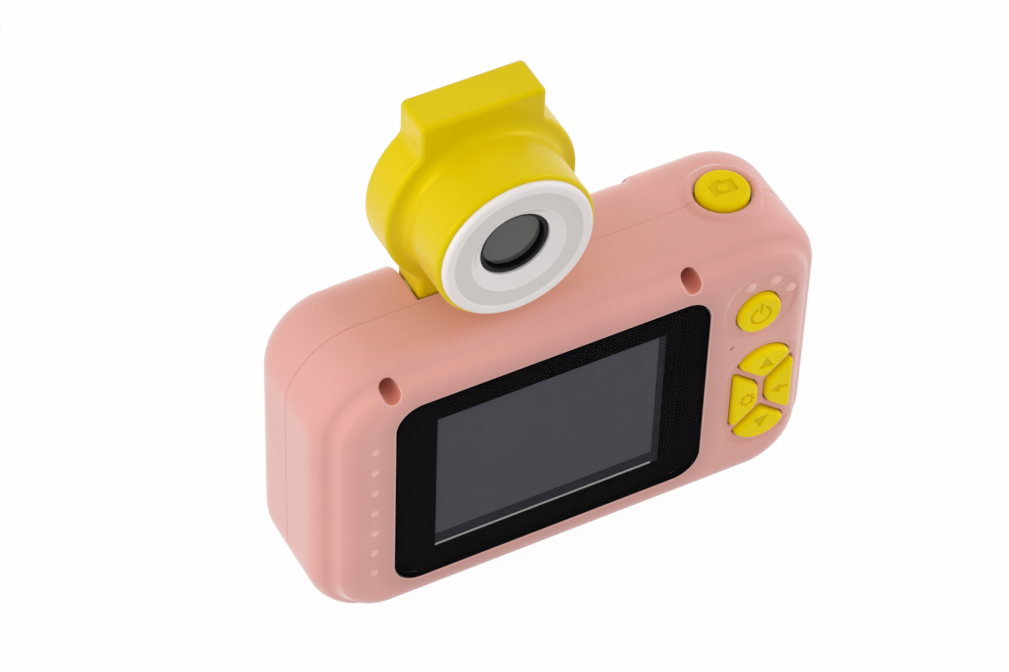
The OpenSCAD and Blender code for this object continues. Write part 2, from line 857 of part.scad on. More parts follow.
// Ribbon from the lower edge of the backlight to the main board
module lcd_flex() color([0.80, 0.50, 0.12])
    translate([lcd_x + lcd_w / 2 - flex_w / 2, 0, lcd_z - lcd_gap]) {
        translate([0, y_cushion, -flex_drop]) cube([flex_w, flex_t, flex_drop + cushion_margin]);
        translate([0, y_cushion, -flex_drop]) cube([flex_w, cushion_t, flex_t]);
    }

// Electronics

module main_board() color(board_green) slab(y_board, board_t) difference() {
    translate([-board_w / 2, board_base]) rounded_rect(board_w, board_h, board_corner_r);
    for (p = board_places) translate(p) circle(board_screw_r + seat_gap);
    for (p = case_places) translate(p) circle(case_boss_r + 2 * port_gap);
    for (x = strap_places) translate([x, strap_z]) circle(strap_sleeve_r + 2 * port_gap);
}

module board_screws() color(steel) for (p = board_places)
    screw_y(p[0], y_board_top, p[1], board_screw_r, board_t + board_screw_reach, board_head_r, board_head_t);

module processor() color(black)
    translate([chip_x, y_board_top, chip_z]) cube([chip_w, chip_t, chip_w]);

module memory_chip() color(black)
    translate([memory_x, y_board_top, memory_z]) cube([memory_w, memory_t, memory_h]);

// Thin metal shell that is open at its lower end
module socket_shell(x, w, h, t, shell) difference() {
    translate([x, y_board_top, board_base]) cube([w, t, h]);
    translate([x + shell, y_board_top + shell, board_base - over])
        cube([w - 2 * shell, t - 2 * shell, h - shell + over]);
}

module usb_socket() color(steel) {
    socket_shell(usb_x, usb_w, usb_h, usb_t, usb_shell);
    translate([usb_x + usb_w / 4, y_board_top + usb_t / 2 - usb_shell / 2, board_base + over])
        cube([usb_w / 2, usb_shell, usb_h - over - usb_shell]);
}

module card_socket() color(steel) socket_shell(card_x, card_w, card_h, card_t, card_shell);

module battery_pad() color([0.75, 0.75, 0.72])
    translate([battery_x + pad_margin, y_board_top, battery_z + pad_margin])
        cube([battery_w - 2 * pad_margin, pad_t, battery_h - 2 * pad_margin]);

module battery() color([0.72, 0.74, 0.78])
    translate([battery_x, y_board_top + pad_t, battery_z]) cube([battery_w, battery_t, battery_h]);

module speaker() color([0.15, 0.15, 0.16]) difference() {
    bar_y(speaker_x, y_speaker_seat - speaker_t, speaker_z, speaker_r, speaker_t);
    bar_y(speaker_x, y_speaker_seat - speaker_seat, speaker_z, speaker_r - 2 * speaker_seat, speaker_t);
}

module microphone() color(steel) bar_y(mic_x, y_rear_in, mic_z, mic_r, mic_t);

// Switches and keys

key_places = [[power_x, power_z], nav_centre(0), nav_centre(1), nav_centre(2), nav_centre(3)];

module key_switches() color(black) for (p = key_places) difference() {
    translate([p[0] - switch_w / 2, y_switch, p[1] - switch_w / 2]) cube([switch_w, switch_h, switch_w]);
    bar_y(p[0], y_switch - over, p[1], plunger_r + run_gap, plunger_sink + over + 2 * plunger_room);
}

module key_plunger(p) color([0.85, 0.85, 0.82])
    bar_y(p[0], y_plunger, p[1], plunger_r, plunger_rise + plunger_root);

module key_stem(p) bar_y(p[0], y_key_stem, p[1], key_stem_r, stem_l);

module power_button() color(yellow) {
    bar_y(power_x, y_rear - key_rise, power_z, power_r, y_key_stem - y_rear + key_rise);
    bar_y(power_x, y_key_flange, power_z, power_r + key_flange, key_flange_t);
    key_stem([power_x, power_z]);
}

module nav_key(turn) color(yellow) {
    slab(y_rear - key_rise, y_key_flange - y_rear + key_rise)
        translate([keys_x, keys_z]) nav_outline(turn, 0);
    slab(y_key_flange, key_flange_t) translate([keys_x, keys_z]) nav_outline(turn, key_flange);
    key_stem(nav_centre(turn));
}

module shutter_button() color(yellow) translate([shutter_x, 0, 0]) {
    translate([0, 0, z_shutter_flange]) cylinder(h = body_h + shutter_rise - z_shutter_flange, r = shutter_r);
    translate([0, 0, z_shutter_flange]) cylinder(h = shutter_flange_t, r = shutter_r + shutter_flange);
    translate([0, 0, z_shutter_plunger]) cylinder(h = shutter_stem_l, r = shutter_stem_r);
}

module shutter_plunger() color([0.85, 0.85, 0.82])
    translate([shutter_x, 0, z_shutter_plunger - shutter_plunger_rise - shutter_plunger_sink])
        cylinder(h = shutter_plunger_rise + shutter_plunger_sink, r = shutter_plunger_r);

module shutter_switch() color(black) difference() {
    translate([shutter_x - shutter_switch_w / 2, -shutter_switch_w / 2, z_shutter_switch])
        cube([shutter_switch_w, shutter_switch_w, shutter_switch_h]);
    translate([shutter_x, 0, z_shutter_switch + shutter_switch_h - 2 * shutter_plunger_sink])
        cylinder(h = shutter_switch_h, r = shutter_plunger_r + run_gap);
}

module shutter_board() color(board_green)
    translate([shutter_x - shutter_board_w / 2, shutter_board_y, z_shutter_board])
        cube([shutter_board_w, shutter_board_d, shutter_board_t]);

// Lens head

// Space inside the head, open to the far side
module head_hollow() {
    head_slab(y_head_in, plate_t) intersection() {
        head_outline(-head_wall);
        translate([-2 * head_r, foot_solid]) square([4 * head_r, hump_v]);
    }
    bar_y(head_x, y_barrel + barrel_lip_t, lens_z, barrel_in_r, barrel_l + head_wall);
    bar_y(head_x, y_barrel - over, lens_z, spigot_r + seat_gap, barrel_l);
}

module foot_bores() {
    bar_x(head_x + foot_half - pin_root, hinge_y, hinge_z, pin_r, pin_root + over);
    bar_x(head_x - foot_half - over, hinge_y, hinge_z, cable_pin_r, pin_root + over);
    bar_x(head_x - pin_root, hinge_y, hinge_z, cable_bore_r, pin_root + cable_u + cable_bore_r);
    translate([head_x + cable_u, hinge_y, hinge_z]) cylinder(h = foot_solid + over, r = cable_bore_r);
}

module head_shell() color(yellow) difference() {
    union() {
        difference() {
            union() {
                head_slab(y_plate, plate_t) head_outline(0);
                bar_x(head_x - foot_half, hinge_y, hinge_z, plate_t / 2, hump_w);
                bar_y(head_x, y_barrel, lens_z, barrel_r, barrel_l + head_wall);
            }
            head_hollow();
        }
        for (p = head_places)
            bar_y(head_x + p[0], y_head_in - head_wall / 2, hinge_z + p[1], head_boss_r,
                  y_head_cover - y_head_in + head_wall / 2);
    }
    foot_bores();
    for (p = head_places)
        bar_y(head_x + p[0], y_head_cover - head_screw_reach, hinge_z + p[1], head_screw_r + seat_gap,
              head_screw_reach + over);
}

module head_cover() color(yellow) difference() {
    union() {
        head_slab(y_head_cover, head_cover_t) intersection() {
            head_outline(-head_wall - cover_gap);
            translate([-2 * head_r, foot_solid + cover_gap]) square([4 * head_r, hump_v]);
        }
        for (side = [-1, 1])
            bar_y(head_x + side * post_u, y_sensor_board + sensor_board_t + seat_gap, lens_z, post_r,
                  y_head_cover - y_sensor_board - sensor_board_t);
    }
    for (p = head_places) {
        bar_y(head_x + p[0], y_head_cover - over, hinge_z + p[1], head_screw_r + seat_gap, plate_t);
        bar_y(head_x + p[0], y_plate_far - head_screw_head_t, hinge_z + p[1],
              head_screw_head_r + seat_gap, plate_t);
    }
}

module head_screws() color(steel) for (p = head_places)
    screw_y(head_x + p[0], y_plate_far - head_screw_head_t, hinge_z + p[1], head_screw_r,
            head_cover_t - head_screw_head_t + head_screw_reach - plug_rim, head_screw_head_r,
            head_screw_head_t);

// Solid of revolution about the lens axis: profile X is the radius, profile Y runs towards the viewer
module lens_turned(y) translate([head_x, y, lens_z]) rotate([90, 0, 0]) rotate_extrude() children();

module lens_ring() color(white) difference() {
    lens_turned(y_barrel) {
        edge_profile(ring_r, ring_t, ring_round);
        translate([0, -spigot_l]) square([spigot_r, spigot_l]);
    }
    lens_turned(y_barrel) polygon([[0, ring_t + over],
        [cone_r + (cone_r - lens_r) * over / cone_t, ring_t + over],
        [lens_r, ring_t - cone_t], [lens_r, -spigot_l - over], [0, -spigot_l - over]]);
    lens_turned(y_barrel + spigot_l)
        translate([0, -over]) square([spigot_r - spigot_wall, over + spigot_l - spigot_wall]);
}

module lens_bezel() color(black) lens_turned(y_bezel + bezel_l) difference() {
    square([lens_r - seat_gap, bezel_l]);
    translate([0, -over]) square([lens_r - seat_gap - bezel_wall, bezel_l + 2 * over]);
}

module lens_glass() color([0.35, 0.35, 0.34, 0.6]) bar_y(head_x, y_glass, lens_z, glass_r, glass_t);

// Lens cell: stepped tube with a front and a rear element
module lens_barrel() color([0.08, 0.08, 0.09]) lens_turned(y_cell + cell_l) {
    square([cell_r, cell_l]);
}

module lens_holder() color(black) difference() {
    translate([head_x - holder_w / 2, y_holder, lens_z - holder_w / 2])
        cube([holder_w, holder_reach, holder_w]);
    bar_y(head_x, y_holder - over, lens_z, cell_r + seat_gap, y_cell + cell_l - y_holder + over);
    translate([head_x - sensor_w / 2 - seat_gap, y_cell + cell_l - over, lens_z - sensor_w / 2 - seat_gap])
        cube([sensor_w + 2 * seat_gap, sensor_t + 3 * over, sensor_w + 2 * seat_gap]);
}

module image_sensor() color([0.2, 0.22, 0.25])
    translate([head_x - sensor_w / 2, y_sensor_board - sensor_t, lens_z - sensor_w / 2])
        cube([sensor_w, sensor_t, sensor_w]);

module sensor_board() color(board_green) head_slab(y_sensor_board, sensor_board_t) difference() {
    translate([0, lens_v]) circle(board_r);
    for (p = head_places) translate(p) circle(head_boss_r + 2 * cable_gap);
}

// Hinge and cable

module hinge_pin() color(steel)
    bar_x(head_x + foot_half - pin_root, hinge_y, hinge_z, pin_r, pin_root + side_gap + pin_reach);

module cable_pin() color(steel) difference() {
    bar_x(head_x - slot_half - pin_reach, hinge_y, hinge_z, cable_pin_r,
          pin_reach + side_gap + foot_half - pin_root);
    bar_x(head_x - slot_half - pin_reach - over, hinge_y, hinge_z, cable_bore_r, hump_w);
}

module hinge_washers() color([0.85, 0.85, 0.8]) {
    difference() {
        bar_x(head_x + slot_half - washer_t, hinge_y, hinge_z, washer_r, washer_t);
        bar_x(head_x, hinge_y, hinge_z, pin_r + run_gap, hump_w);
    }
    difference() {
        bar_x(head_x - slot_half, hinge_y, hinge_z, washer_r, washer_t);
        bar_x(head_x - hump_w, hinge_y, hinge_z, cable_pin_r + run_gap, hump_w);
    }
}

// Cable in the head, from the hinge axis up to its plug
module head_cable() color(black) {
    translate([head_x + cable_u, hinge_y, hinge_z]) {
        sphere(cable_r);
        cylinder(h = plug_v, r = cable_r);
    }
}

module cable_plug() color(white)
    translate([head_x + cable_u - plug_w / 2, y_sensor_board + sensor_board_t, hinge_z + plug_v])
        cube([plug_w, plug_t, plug_h]);

// Cable in the case, from the hinge axis to the main board
module body_cable() color(black) {
    start = head_x + cable_u - cable_r - cable_gap;
    bar_x(cable_out_x, hinge_y, hinge_z, cable_r, start - cable_out_x);
    translate([cable_out_x, hinge_y, hinge_z]) sphere(cable_r);
    translate([cable_out_x, hinge_y, cable_turn_z]) {
        cylinder(h = hinge_z - cable_turn_z, r = cable_r);
        sphere(cable_r);
    }
    bar_y(cable_out_x, y_board_top + socket_t, cable_turn_z, cable_r, hinge_y - y_board_top - socket_t);
}

module cable_socket() color(white)
    translate([cable_out_x - socket_w / 2, y_board_top, cable_turn_z - socket_h / 2])
        cube([socket_w, socket_t, socket_h]);

rear_case();
front_case();
case_screws();
screen_cover();
screen_mask();
lcd_glass();
lcd_backlight();
lcd_cushion();
lcd_flex();
main_board();
board_screws();
processor();
memory_chip();
usb_socket();
card_socket();
battery();
battery_pad();
speaker();
microphone();
key_switches();
shutter_board();
shutter_switch();
shutter_button();
shutter_plunger();
power_button();
key_plunger([power_x, power_z]);  // power_plunger
nav_key(0);  // up_key
key_plunger(nav_centre(0));  // up_plunger
nav_key(2);  // down_key
key_plunger(nav_centre(2));  // down_plunger
nav_key(1);  // settings_key
key_plunger(nav_centre(1));  // settings_plunger
nav_key(3);  // playback_key
key_plunger(nav_centre(3));  // playback_plunger
head_shell();
head_cover();
head_screws();
lens_ring();
lens_bezel();
lens_glass();
lens_barrel();
lens_holder();
image_sensor();
sensor_board();
head_cable();
cable_plug();
hinge_pin();
cable_pin();
hinge_washers();
body_cable();
cable_socket();
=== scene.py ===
"""Looks of the toy camera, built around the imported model.

Lengths are in millimetres until a mesh is made.
"""

import json
import math

import bpy
import numpy as np
from mathutils import Matrix, Vector


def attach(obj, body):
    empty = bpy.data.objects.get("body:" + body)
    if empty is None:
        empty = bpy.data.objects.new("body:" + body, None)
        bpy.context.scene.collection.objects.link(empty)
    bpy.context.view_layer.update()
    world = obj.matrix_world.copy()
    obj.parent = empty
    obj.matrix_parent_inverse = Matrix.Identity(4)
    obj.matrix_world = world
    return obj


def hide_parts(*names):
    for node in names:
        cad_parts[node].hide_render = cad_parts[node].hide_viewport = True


MM = 0.001

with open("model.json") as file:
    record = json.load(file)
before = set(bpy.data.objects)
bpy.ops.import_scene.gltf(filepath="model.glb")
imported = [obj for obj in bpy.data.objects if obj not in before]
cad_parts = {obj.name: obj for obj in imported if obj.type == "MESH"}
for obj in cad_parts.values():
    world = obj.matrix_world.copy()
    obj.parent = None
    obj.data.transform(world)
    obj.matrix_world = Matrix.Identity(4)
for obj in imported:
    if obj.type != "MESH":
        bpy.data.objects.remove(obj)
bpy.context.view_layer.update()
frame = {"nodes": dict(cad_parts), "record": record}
nodes = frame["nodes"]

# Photograph: frame in pixels, and the camera that sees the object as the photograph does
PHOTO_W = 1009
FOCAL_PX = 4300
SENSOR_MM = 36
CAMERA_AT = (-281.46, -483.79, 636.91)
CAMERA_AZIMUTH = -29.5
CAMERA_ELEVATION = 46.63
CAMERA_ROLL = 2.22
CAMERA_SIGHT_M = 20

# World and floor
WORLD_COLOUR = (1, 0.985, 0.97, 1)
WORLD_LIGHT = 0.7
FLOOR_REACH_M = 4
FLOOR_COLOUR = (0.75, 0.745, 0.74, 1)
FLOOR_ROUGH = 0.9
FLOOR_GLOW_SHARE = 0.97

# Lamps: name, place, aim, diameter, watts and colour, with lengths in metres
LAMPS = (
    ("key", (-0.6, 0.12, 0.34), (0, 0, 0.04), 0.45, 1.3, (1, 0.99, 0.98)),
    ("fill", (-0.26, -0.34, 0.26), (0, 0, 0.04), 0.3, 0.18, (1, 1, 1)),
    ("side", (0.6, -0.05, 0.45), (0, 0, 0.05), 0.5, 1.3, (1, 1, 1)),
)

# Numbers of the sockets of a colour mix
MIX_FIRST = 6
MIX_SECOND = 7
MIX_RESULT = 2

# Surfaces
NOISE_RANGE = (0.3, 0.7)
CLOUD_SCALE = 45
CLOUD_DETAIL = 3
GRAIN_DETAIL = 2
GRAIN_STRENGTH = 0.5
SHEEN_ROUGH = 0.4
FLAT_FACING = 0.85
SIDE_FACING = 0.5
PANE_ROUGH = 0.05
PANE_CLEAR = (0.97, 0.97, 0.98, 1)

# A length that reaches out of every piece, and the Y limits of the grid zones
OUT = 20
REAR_ZONE_Y = -18
FRONT_ZONE_Y = (-0.7, 17.4)

REAR_GRID = ((-54.2, -17.6, -0.7), (54.2, 0.7, 67.6))
FRONT_GRID = ((-54.2, -0.7, -0.7), (54.2, 17.4, 67.6))
HEAD_GRID = ((-33.2, -12.8, 56.5), (7.8, 11.2, 109.2))
COVER_GRID = ((-31.8, 3.4, 69), (6.4, 11.2, 107.8))
CASE_STEPS = (0.25, 0.5)
HEAD_STEPS = (0.22, 0.45)
KEY_STEPS = (0.12, 0.25)
SHUTTER_STEPS = (0.13, 0.25)
FAR = 1e3
POINT_MOVES = 3
LEAST_SLOPE = 0.05
FACES_KEPT = 0.3
SHADE_WEIGHT = 60
WELD_M = 1e-6

# Case
BODY_W = 107
BODY_H = 66
HALF_D = 16.5
CORNER_R = 14.5
WALL = 2
FRONT_EDGE_R = 8.5
FRONT_D = 15.7
GRIP_X = 25.1
GRIP_SOFT = 2.4
FRONT_IN_Y = 13.7
SHOULDER_R = 5
SHOULDER_DROP = 3.1
PLATEAU_INSET = 2.1
PLATEAU_R = 6.2
REAR_INNER_R = 7
SHOULDER_SOFT = 0.35
GROOVE_AT = (1.27, -14.8)
GROOVE_R = 2.5
GROOVE_SOFT = 0.6
SEAM_SOFT = 0.15
EDGE_SOFT = 0.35
REAR_FACE_FROM = -14
REAR_POST_Y = (-16, 0.5)
INNER_REAR_Y = -15

# Screen panel and display opening: middle and half sizes in X and Z
PANEL = (-5.7, 33.7, 33, 24)
PANEL_R = 5.5
PANEL_GAP = 0.15
PANEL_DEPTH = 1.5
LCD = (-5.5, 33.0, 30.1, 21.4)
LCD_GAP = 0.3
LCD_FRAME = 1.5
LCD_FRAME_Y = -13.85
LCD_CORNER_R = 0.5
# Painted shade on the display right of and below these levels, and a painted highlight below the last
DISPLAY_SHADE_X = 17.2
DISPLAY_SHADE_Z = 18.4
DISPLAY_HIGHLIGHT_Z = 15.6
# Painted shade beside the panel and a painted highlight on its rim, as distances past the panel outline
PANEL_SHADE = (0.5, 4.5)
PANEL_SHADE_SHARE = 0.55
PANEL_RIM_HIGHLIGHT = (0.4, 0.6)

# Keys
KEYS_AT = (40.4, 25.905)
NAV_R = 6.5
NAV_HALF = 5.8
NAV_SLOPE = 0.85
NAV_APEX = 4.2
NAV_WAIST = 1.9
NAV_MID = 1
KEY_GAP = 0.25
KEY_RISE = 0.9
KEY_FLANGE = 0.5
NAV_DISH = 1.5
NAV_DISH_T = 0.3
NAV_DISH_SOFT = 0.7
NAV_SOFT = 0.9
NAV_CAP_SOFT = 1.3
NAV_EDGE_R = 0.85
NAV_REACH = ((7.6, 5.6), (4.2, 9.6))
KEY_TOP = -HALF_D - KEY_RISE
KEY_CAP_END = -14
KEY_FLANGE_Y = (-14.4, -13.5)
KEY_POCKET_Y = (-14.5, -12.75)
KEY_HOLE_END = -10
KEY_HOLE_SOFT = 0.3
KEY_GRID_Y = (-17.9, -12.7)
KEY_BODIES = ("up", "settings", "down", "playback")
STEM_R = 1.2
STEM_END_Y = -13.05
SIGN_DEPTH = 0.35
SIGN_SOFT = 0.1
SIGN_BAND = 0.1
SIGN_SHIFT = ((0, 0.1), (0.1, 0), (0, 0.6), (-0.1, 0))
TRIANGLE_SIZE = 2.0
GEAR_R = (0.95, 1.55)
GEAR_TEETH = 8
TOOTH_DEPTH = 0.22
TOOTH_SLOPE = 3
ARROW_BAR = (1.0, 0.35)
ARROW_BAR_U = 0.9
ARROW_TIP = 1.5
ARROW_TIP_U = 0.7
STROKE = 0.28
STROKE_HALF = 1.3
STROKE_V = 1.75
STROKE_R = 0.1
POWER_RING_R = 2.05
POWER_RING_GAP = 0.85
POWER_GAP_SLOPE = -9
CAMERA_BODY = (2.6, 1.6)
CAMERA_BODY_R = 0.3
CAMERA_HUMP = (0.95, 0.5)
CAMERA_HUMP_AT = (0.5, 1.7)
CAMERA_HUMP_R = 0.2
CAMERA_LENS_R = 1.05
POWER_AT = (38.1, 49.051)
POWER_R = 4.6
POWER_DISH_AT = (38.5, 51.051)
POWER_DISH_R = 7.7
POWER_DISH_T = 0.5
POWER_DISH_SOFT = 0.8
POWER_EDGE_R = 0.8
POWER_REACH = (5.8, 5.8)
POWER_DISH_LEAN = (0.5, 0.87)
POWER_DISH_MIDDLE = 0.55
TOE_R = 1.25
TOE_SOFT = 0.15
TOE_ORBIT = 7.7
TOE_DEGREES = (106, 65, 27)
TOES = [(POWER_AT[0] + TOE_ORBIT * math.cos(turn), POWER_AT[1] + TOE_ORBIT * math.sin(turn))
        for turn in map(math.radians, TOE_DEGREES)]
SHUTTER_X = 38.3
SHUTTER_R = 5.3
SHUTTER_RISE = 1.6
SHUTTER_FLANGE = 0.9
SHUTTER_FLANGE_Z = (62.5, 63.9)
SHUTTER_STEM_R = 1.6
SHUTTER_STEM_Z = (60.5, 63)
SHUTTER_BORE_Z = 55
SHUTTER_POCKET_Z = (61.4, 64)
SHUTTER_BORE_SOFT = 0.5
SHUTTER_EDGE_R = 0.9
SHUTTER_GRID = ((SHUTTER_X - 6.8, -6.8, 60.2), (SHUTTER_X + 6.8, 6.8, 68.2))
SHELF_HALF = 6.5
SHELF_Y = (0.2, 14.7)
SHELF_Z = (53.7, 55.1)
RIM_R = 1
RIM_ORBIT = 6.6
RIM_SINK = 0.2
RIM_SOFT = 0.9

# Small features of the case
DOT_X = -43.35
DOT_Z = 15.9
DOT_PITCH = 5.67
DOT_COUNT = 7
DOT_R = 0.85
DOT_SOFT = 0.08
DOTS = [(DOT_X, DOT_Z + i * DOT_PITCH) for i in range(DOT_COUNT)]
DOME_SHARE = 0.45
# Painted highlight on the raised dots and toes, fading out between these shares of their radius
DOT_HIGHLIGHT_FADE = (0.7, 1.05)
STRAPS = ((-39.2, 62), (23.7, 62))
STRAP_R = 1.7
STRAP_SLEEVE_R = 3.1
# Painted highlight on the rim of each strap hole, and painted shade with reflected red inside it
STRAP_EDGE_HIGHLIGHT = (0.3, 0.5)
# Painted shade and reflected red light deep inside each strap tunnel
STRAP_INSIDE_SHADE = (0.08, 0.2)
STRAP_SOFT = (0.25, 0.5)
MIC_AT = (32.75, 41.451)
MIC_TILT = 35
MIC_HALF = (0.45, 0.25)
MIC_R = 0.1
MIC_END_Y = -13
PORTS = ((-24.5, 9, 3.2), (4, 14, 1.6))
PORT_GAP = 0.3
PORT_R = 0.6
PORT_SOFT = 0.3
PORT_END_Z = 4
CASE_SCREWS = [(x, z) for x in (-48, 48) for z in (12, 54)]
CASE_BOSS_R = 2.6
CASE_SEAT_R = 3.25
CASE_HEAD_R = 2.05
CASE_HEAD_Y = 11.45
CASE_HEAD_SOFT = 0.4
CASE_SCREW_R = 1.15
BOARD_SCREWS = [(x, z) for x in (-40.5, 28.7) for z in (18.7, 49.2)]
BOARD_POST_R = 1.8
BOARD_SCREW_R = 0.85
Y_BOARD = -10.4
Y_BOARD_TOP = -9.2
SPEAKER_AT = (-43, 33)
SPEAKER_R = 6
SPEAKER_RIM = 1
SPEAKER_SEAT_Y = 11.7
SOUND_COUNT = 6
SOUND_ORBIT = 2.6
SOUND_R = 0.6
SOUND_SOFT = 0.25

# Head and hinge: U counts from the middle of the head, V from the hinge axis to the hump
HEAD_X = -12.7
HEAD_R = 19.6
FOOT_HALF = 12.6
PLATE_Y = (1.25, 10.45)
PLATE_EDGE_R = 1.0
HEAD_FILLET = 3
HUMP_EDGE_R = 1.3
HINGE_Y = 5.85
HINGE_Z = 61.9
LENS_V = 23.8
LENS_Z = 85.7
HUMP_V = 46.5
HEAD_WALL = 1.6
HEAD_IN_SOFT = 0.25
FOOT_SOLID = 8
FOOT_EDGE_R = 0.6
SLOT_RISE = 10
SLOT_HALF_V = 18.2
BARREL_R = 16.2
BARREL_Y = -12
BARREL_EDGE_R = 0.8
BARREL_SOFT = 2.6
BARREL_IN_R = 13.8
BARREL_LIP_T = 1.5
SPIGOT_R = 12.9
SIDE_GAP = 0.45
TUB_WALL = 1.5
RECESS_Y = 0.9
RECESS_SOFT = 0.5
TUB_Y = 0.1
LUG_R = 8.2
PIN_R = 1.5
CABLE_PIN_R = 2.4
PIN_REACH = 6
PIN_ROOT = 8
RUN_GAP = 0.05
SEAT_GAP = 0.05
CABLE_BORE_R = 1.5
CABLE_U = -3
COVER_T = 1.5
COVER_EDGE_R = 0.3
COVER_POST_U = 10
COVER_POST_R = 1.5
COVER_POST_Y = (4.15, 9.5)
HEAD_SCREWS = [(HEAD_X + u, HINGE_Z + v) for u in (-9, 9) for v in (10.4, 41.8)]
HEAD_BOSS_R = 1.9
HEAD_SCREW_R = 0.85
SCREW_HEAD_R = 1.65
SCREW_HEAD_T = 0.8
SCREW_HEAD_SOFT = 0.2

# White ring, from the barrel end towards the viewer
RING_R = 15.3
RING_T = 1.3
CONE_T = 2.0
LENS_R = 7.1
SPIGOT_L = 2.4
SPIGOT_WALL = 1.5
RING_LABEL = (9.7, 13.1)
RING_LABEL_SINK = 0.3
LABEL_OUTER_R = 0.4
LABEL_OUTER_GAP = 0.45
LABEL_INNER_R = 0.3
LABEL_INNER_GAP = 0.05
CONE_STEPS = ((1.25, 0.75), (0.55, 0.33), (0.2, 0.22), (0, 0.05))
RING_BEAD = 0.95
BEZEL_EDGE = 0.22
GLASS_EDGE = 0.3
LENS_STEPS = 160
BEZEL_R = (6.2, 7.05)
BEZEL_Y = (-11, -7.4)
GLASS_R = 6.15
GLASS_Y = (-9.8, -8.4)


# Nodes of the materials and of the world


def fill(tree, node, values):
    """Gives inputs of a node their values, or links them to outputs of other nodes."""
    for key, value in values.items():
        if isinstance(value, bpy.types.NodeSocket):
            tree.links.new(value, node.inputs[key])
        else:
            node.inputs[key].default_value = value
    return node


def added(tree, kind, values):
    """First output of a new node."""
    return fill(tree, tree.nodes.new("ShaderNode" + kind), values).outputs[0]


def calc(tree, operation, first, second=0):
    """Result of a sum or a test, from numbers or from outputs of other nodes."""
    node = tree.nodes.new("ShaderNodeMath")
    node.operation = operation
    return fill(tree, node, {0: first, 1: second}).outputs[0]


def mixed(tree, share, first, second):
    """Colour between two colours."""
    node = tree.nodes.new("ShaderNodeMix")
    node.data_type = "RGBA"
    return fill(tree, node, {0: share, MIX_FIRST: first, MIX_SECOND: second}).outputs[MIX_RESULT]


def show(tree, output, share, first, second):
    """Shows a surface between two surfaces."""
    fill(tree, tree.nodes[output], {"Surface": added(tree, "MixShader", {0: share, 1: first, 2: second})})


# Camera, floor and light


def in_scene(name, data):
    """New object that is part of the scene."""
    thing = bpy.data.objects.new(name, data)
    bpy.context.scene.collection.objects.link(thing)
    return thing


def place_camera():
    az = math.radians(CAMERA_AZIMUTH)
    el = math.radians(CAMERA_ELEVATION)
    roll = math.radians(CAMERA_ROLL)
    back = Vector((math.sin(az) * math.cos(el), -math.cos(az) * math.cos(el), math.sin(el)))
    right = Vector((math.cos(az), math.sin(az), 0))
    up = back.cross(right)
    side = right * math.cos(roll) + up * math.sin(roll)
    top = up * math.cos(roll) - right * math.sin(roll)
    data = bpy.data.cameras.new("photo_camera")
    data.sensor_fit = "HORIZONTAL"
    data.sensor_width = SENSOR_MM
    data.lens = FOCAL_PX / PHOTO_W * SENSOR_MM
    data.clip_end = CAMERA_SIGHT_M
    camera = in_scene("photo_camera", data)
    turn = Matrix((side, top, back)).transposed().to_4x4()
    camera.matrix_world = Matrix.Translation(Vector(CAMERA_AT) * MM) @ turn
    bpy.context.scene.camera = camera


def area_light(name, at, target, size, watts, colour):
    data = bpy.data.lights.new(name, "AREA")
    data.shape = "DISK"
    data.size = size
    data.energy = watts
    data.color = colour
    lamp = in_scene(name, data)
    lamp.location = at
    lamp.rotation_euler = (Vector(target) - Vector(at)).to_track_quat("-Z", "Y").to_euler()


def pale_rays(tree):
    """A value of 1 for rays from the camera or by way of gloss and glass, else 0."""
    paths = tree.nodes.new("ShaderNodeLightPath").outputs
    total = paths["Is Camera Ray"]
    for name in ("Is Glossy Ray", "Is Transmission Ray"):
        total = calc(tree, "MAXIMUM", total, paths[name])
    return total


def make_stage():
    """Even light from all round, three lamps, and a pale floor that keeps the shadow."""
    world = bpy.data.worlds.new("studio")
    world.use_nodes = True
    bpy.context.scene.world = world
    tree = world.node_tree
    light = fill(tree, tree.nodes["Background"], {"Color": WORLD_COLOUR, "Strength": WORLD_LIGHT})
    shown = added(tree, "Background", {"Color": (1, 1, 1, 1), "Strength": 1})
    show(tree, "World Output", pale_rays(tree), light.outputs[0], shown)

    reach = FLOOR_REACH_M
    mesh = bpy.data.meshes.new("floor")
    mesh.from_pydata([(-reach, -reach, 0), (reach, -reach, 0), (reach, reach, 0), (-reach, reach, 0)],
                     [], [(0, 1, 2, 3)])
    floor = in_scene("floor", mesh)
    material = bpy.data.materials.new("floor_pale")
    material.use_nodes = True
    tree = material.node_tree
    paper = tree.nodes["Principled BSDF"]
    fill(tree, paper, {"Base Color": FLOOR_COLOUR, "Roughness": FLOOR_ROUGH})
    glow = added(tree, "Emission", {"Strength": 1})
    share = calc(tree, "MULTIPLY", pale_rays(tree), FLOOR_GLOW_SHARE)
    show(tree, "Material Output", share, paper.outputs[0], glow)
    mesh.materials.append(material)

    for lamp in LAMPS:
        area_light(*lamp)


# Materials


def srgb(r, g, b):
    """Scene colour from a display colour on a scale of 0 to 255."""
    def linear(value):
        value = value / 255
        return value / 12.92 if value <= 0.04045 else ((value + 0.055) / 1.055) ** 2.4
    return (linear(r), linear(g), linear(b), 1)


def noise(tree, place, scale, detail):
    return added(tree, "TexNoise", {"Vector": place, "Scale": scale, "Detail": detail})


def spread(tree, value, low, high):
    """Maps a noise value to a range."""
    ends = {"From Min": NOISE_RANGE[0], "From Max": NOISE_RANGE[1], "To Min": low, "To Max": high}
    return added(tree, "MapRange", {"Value": value, **ends})


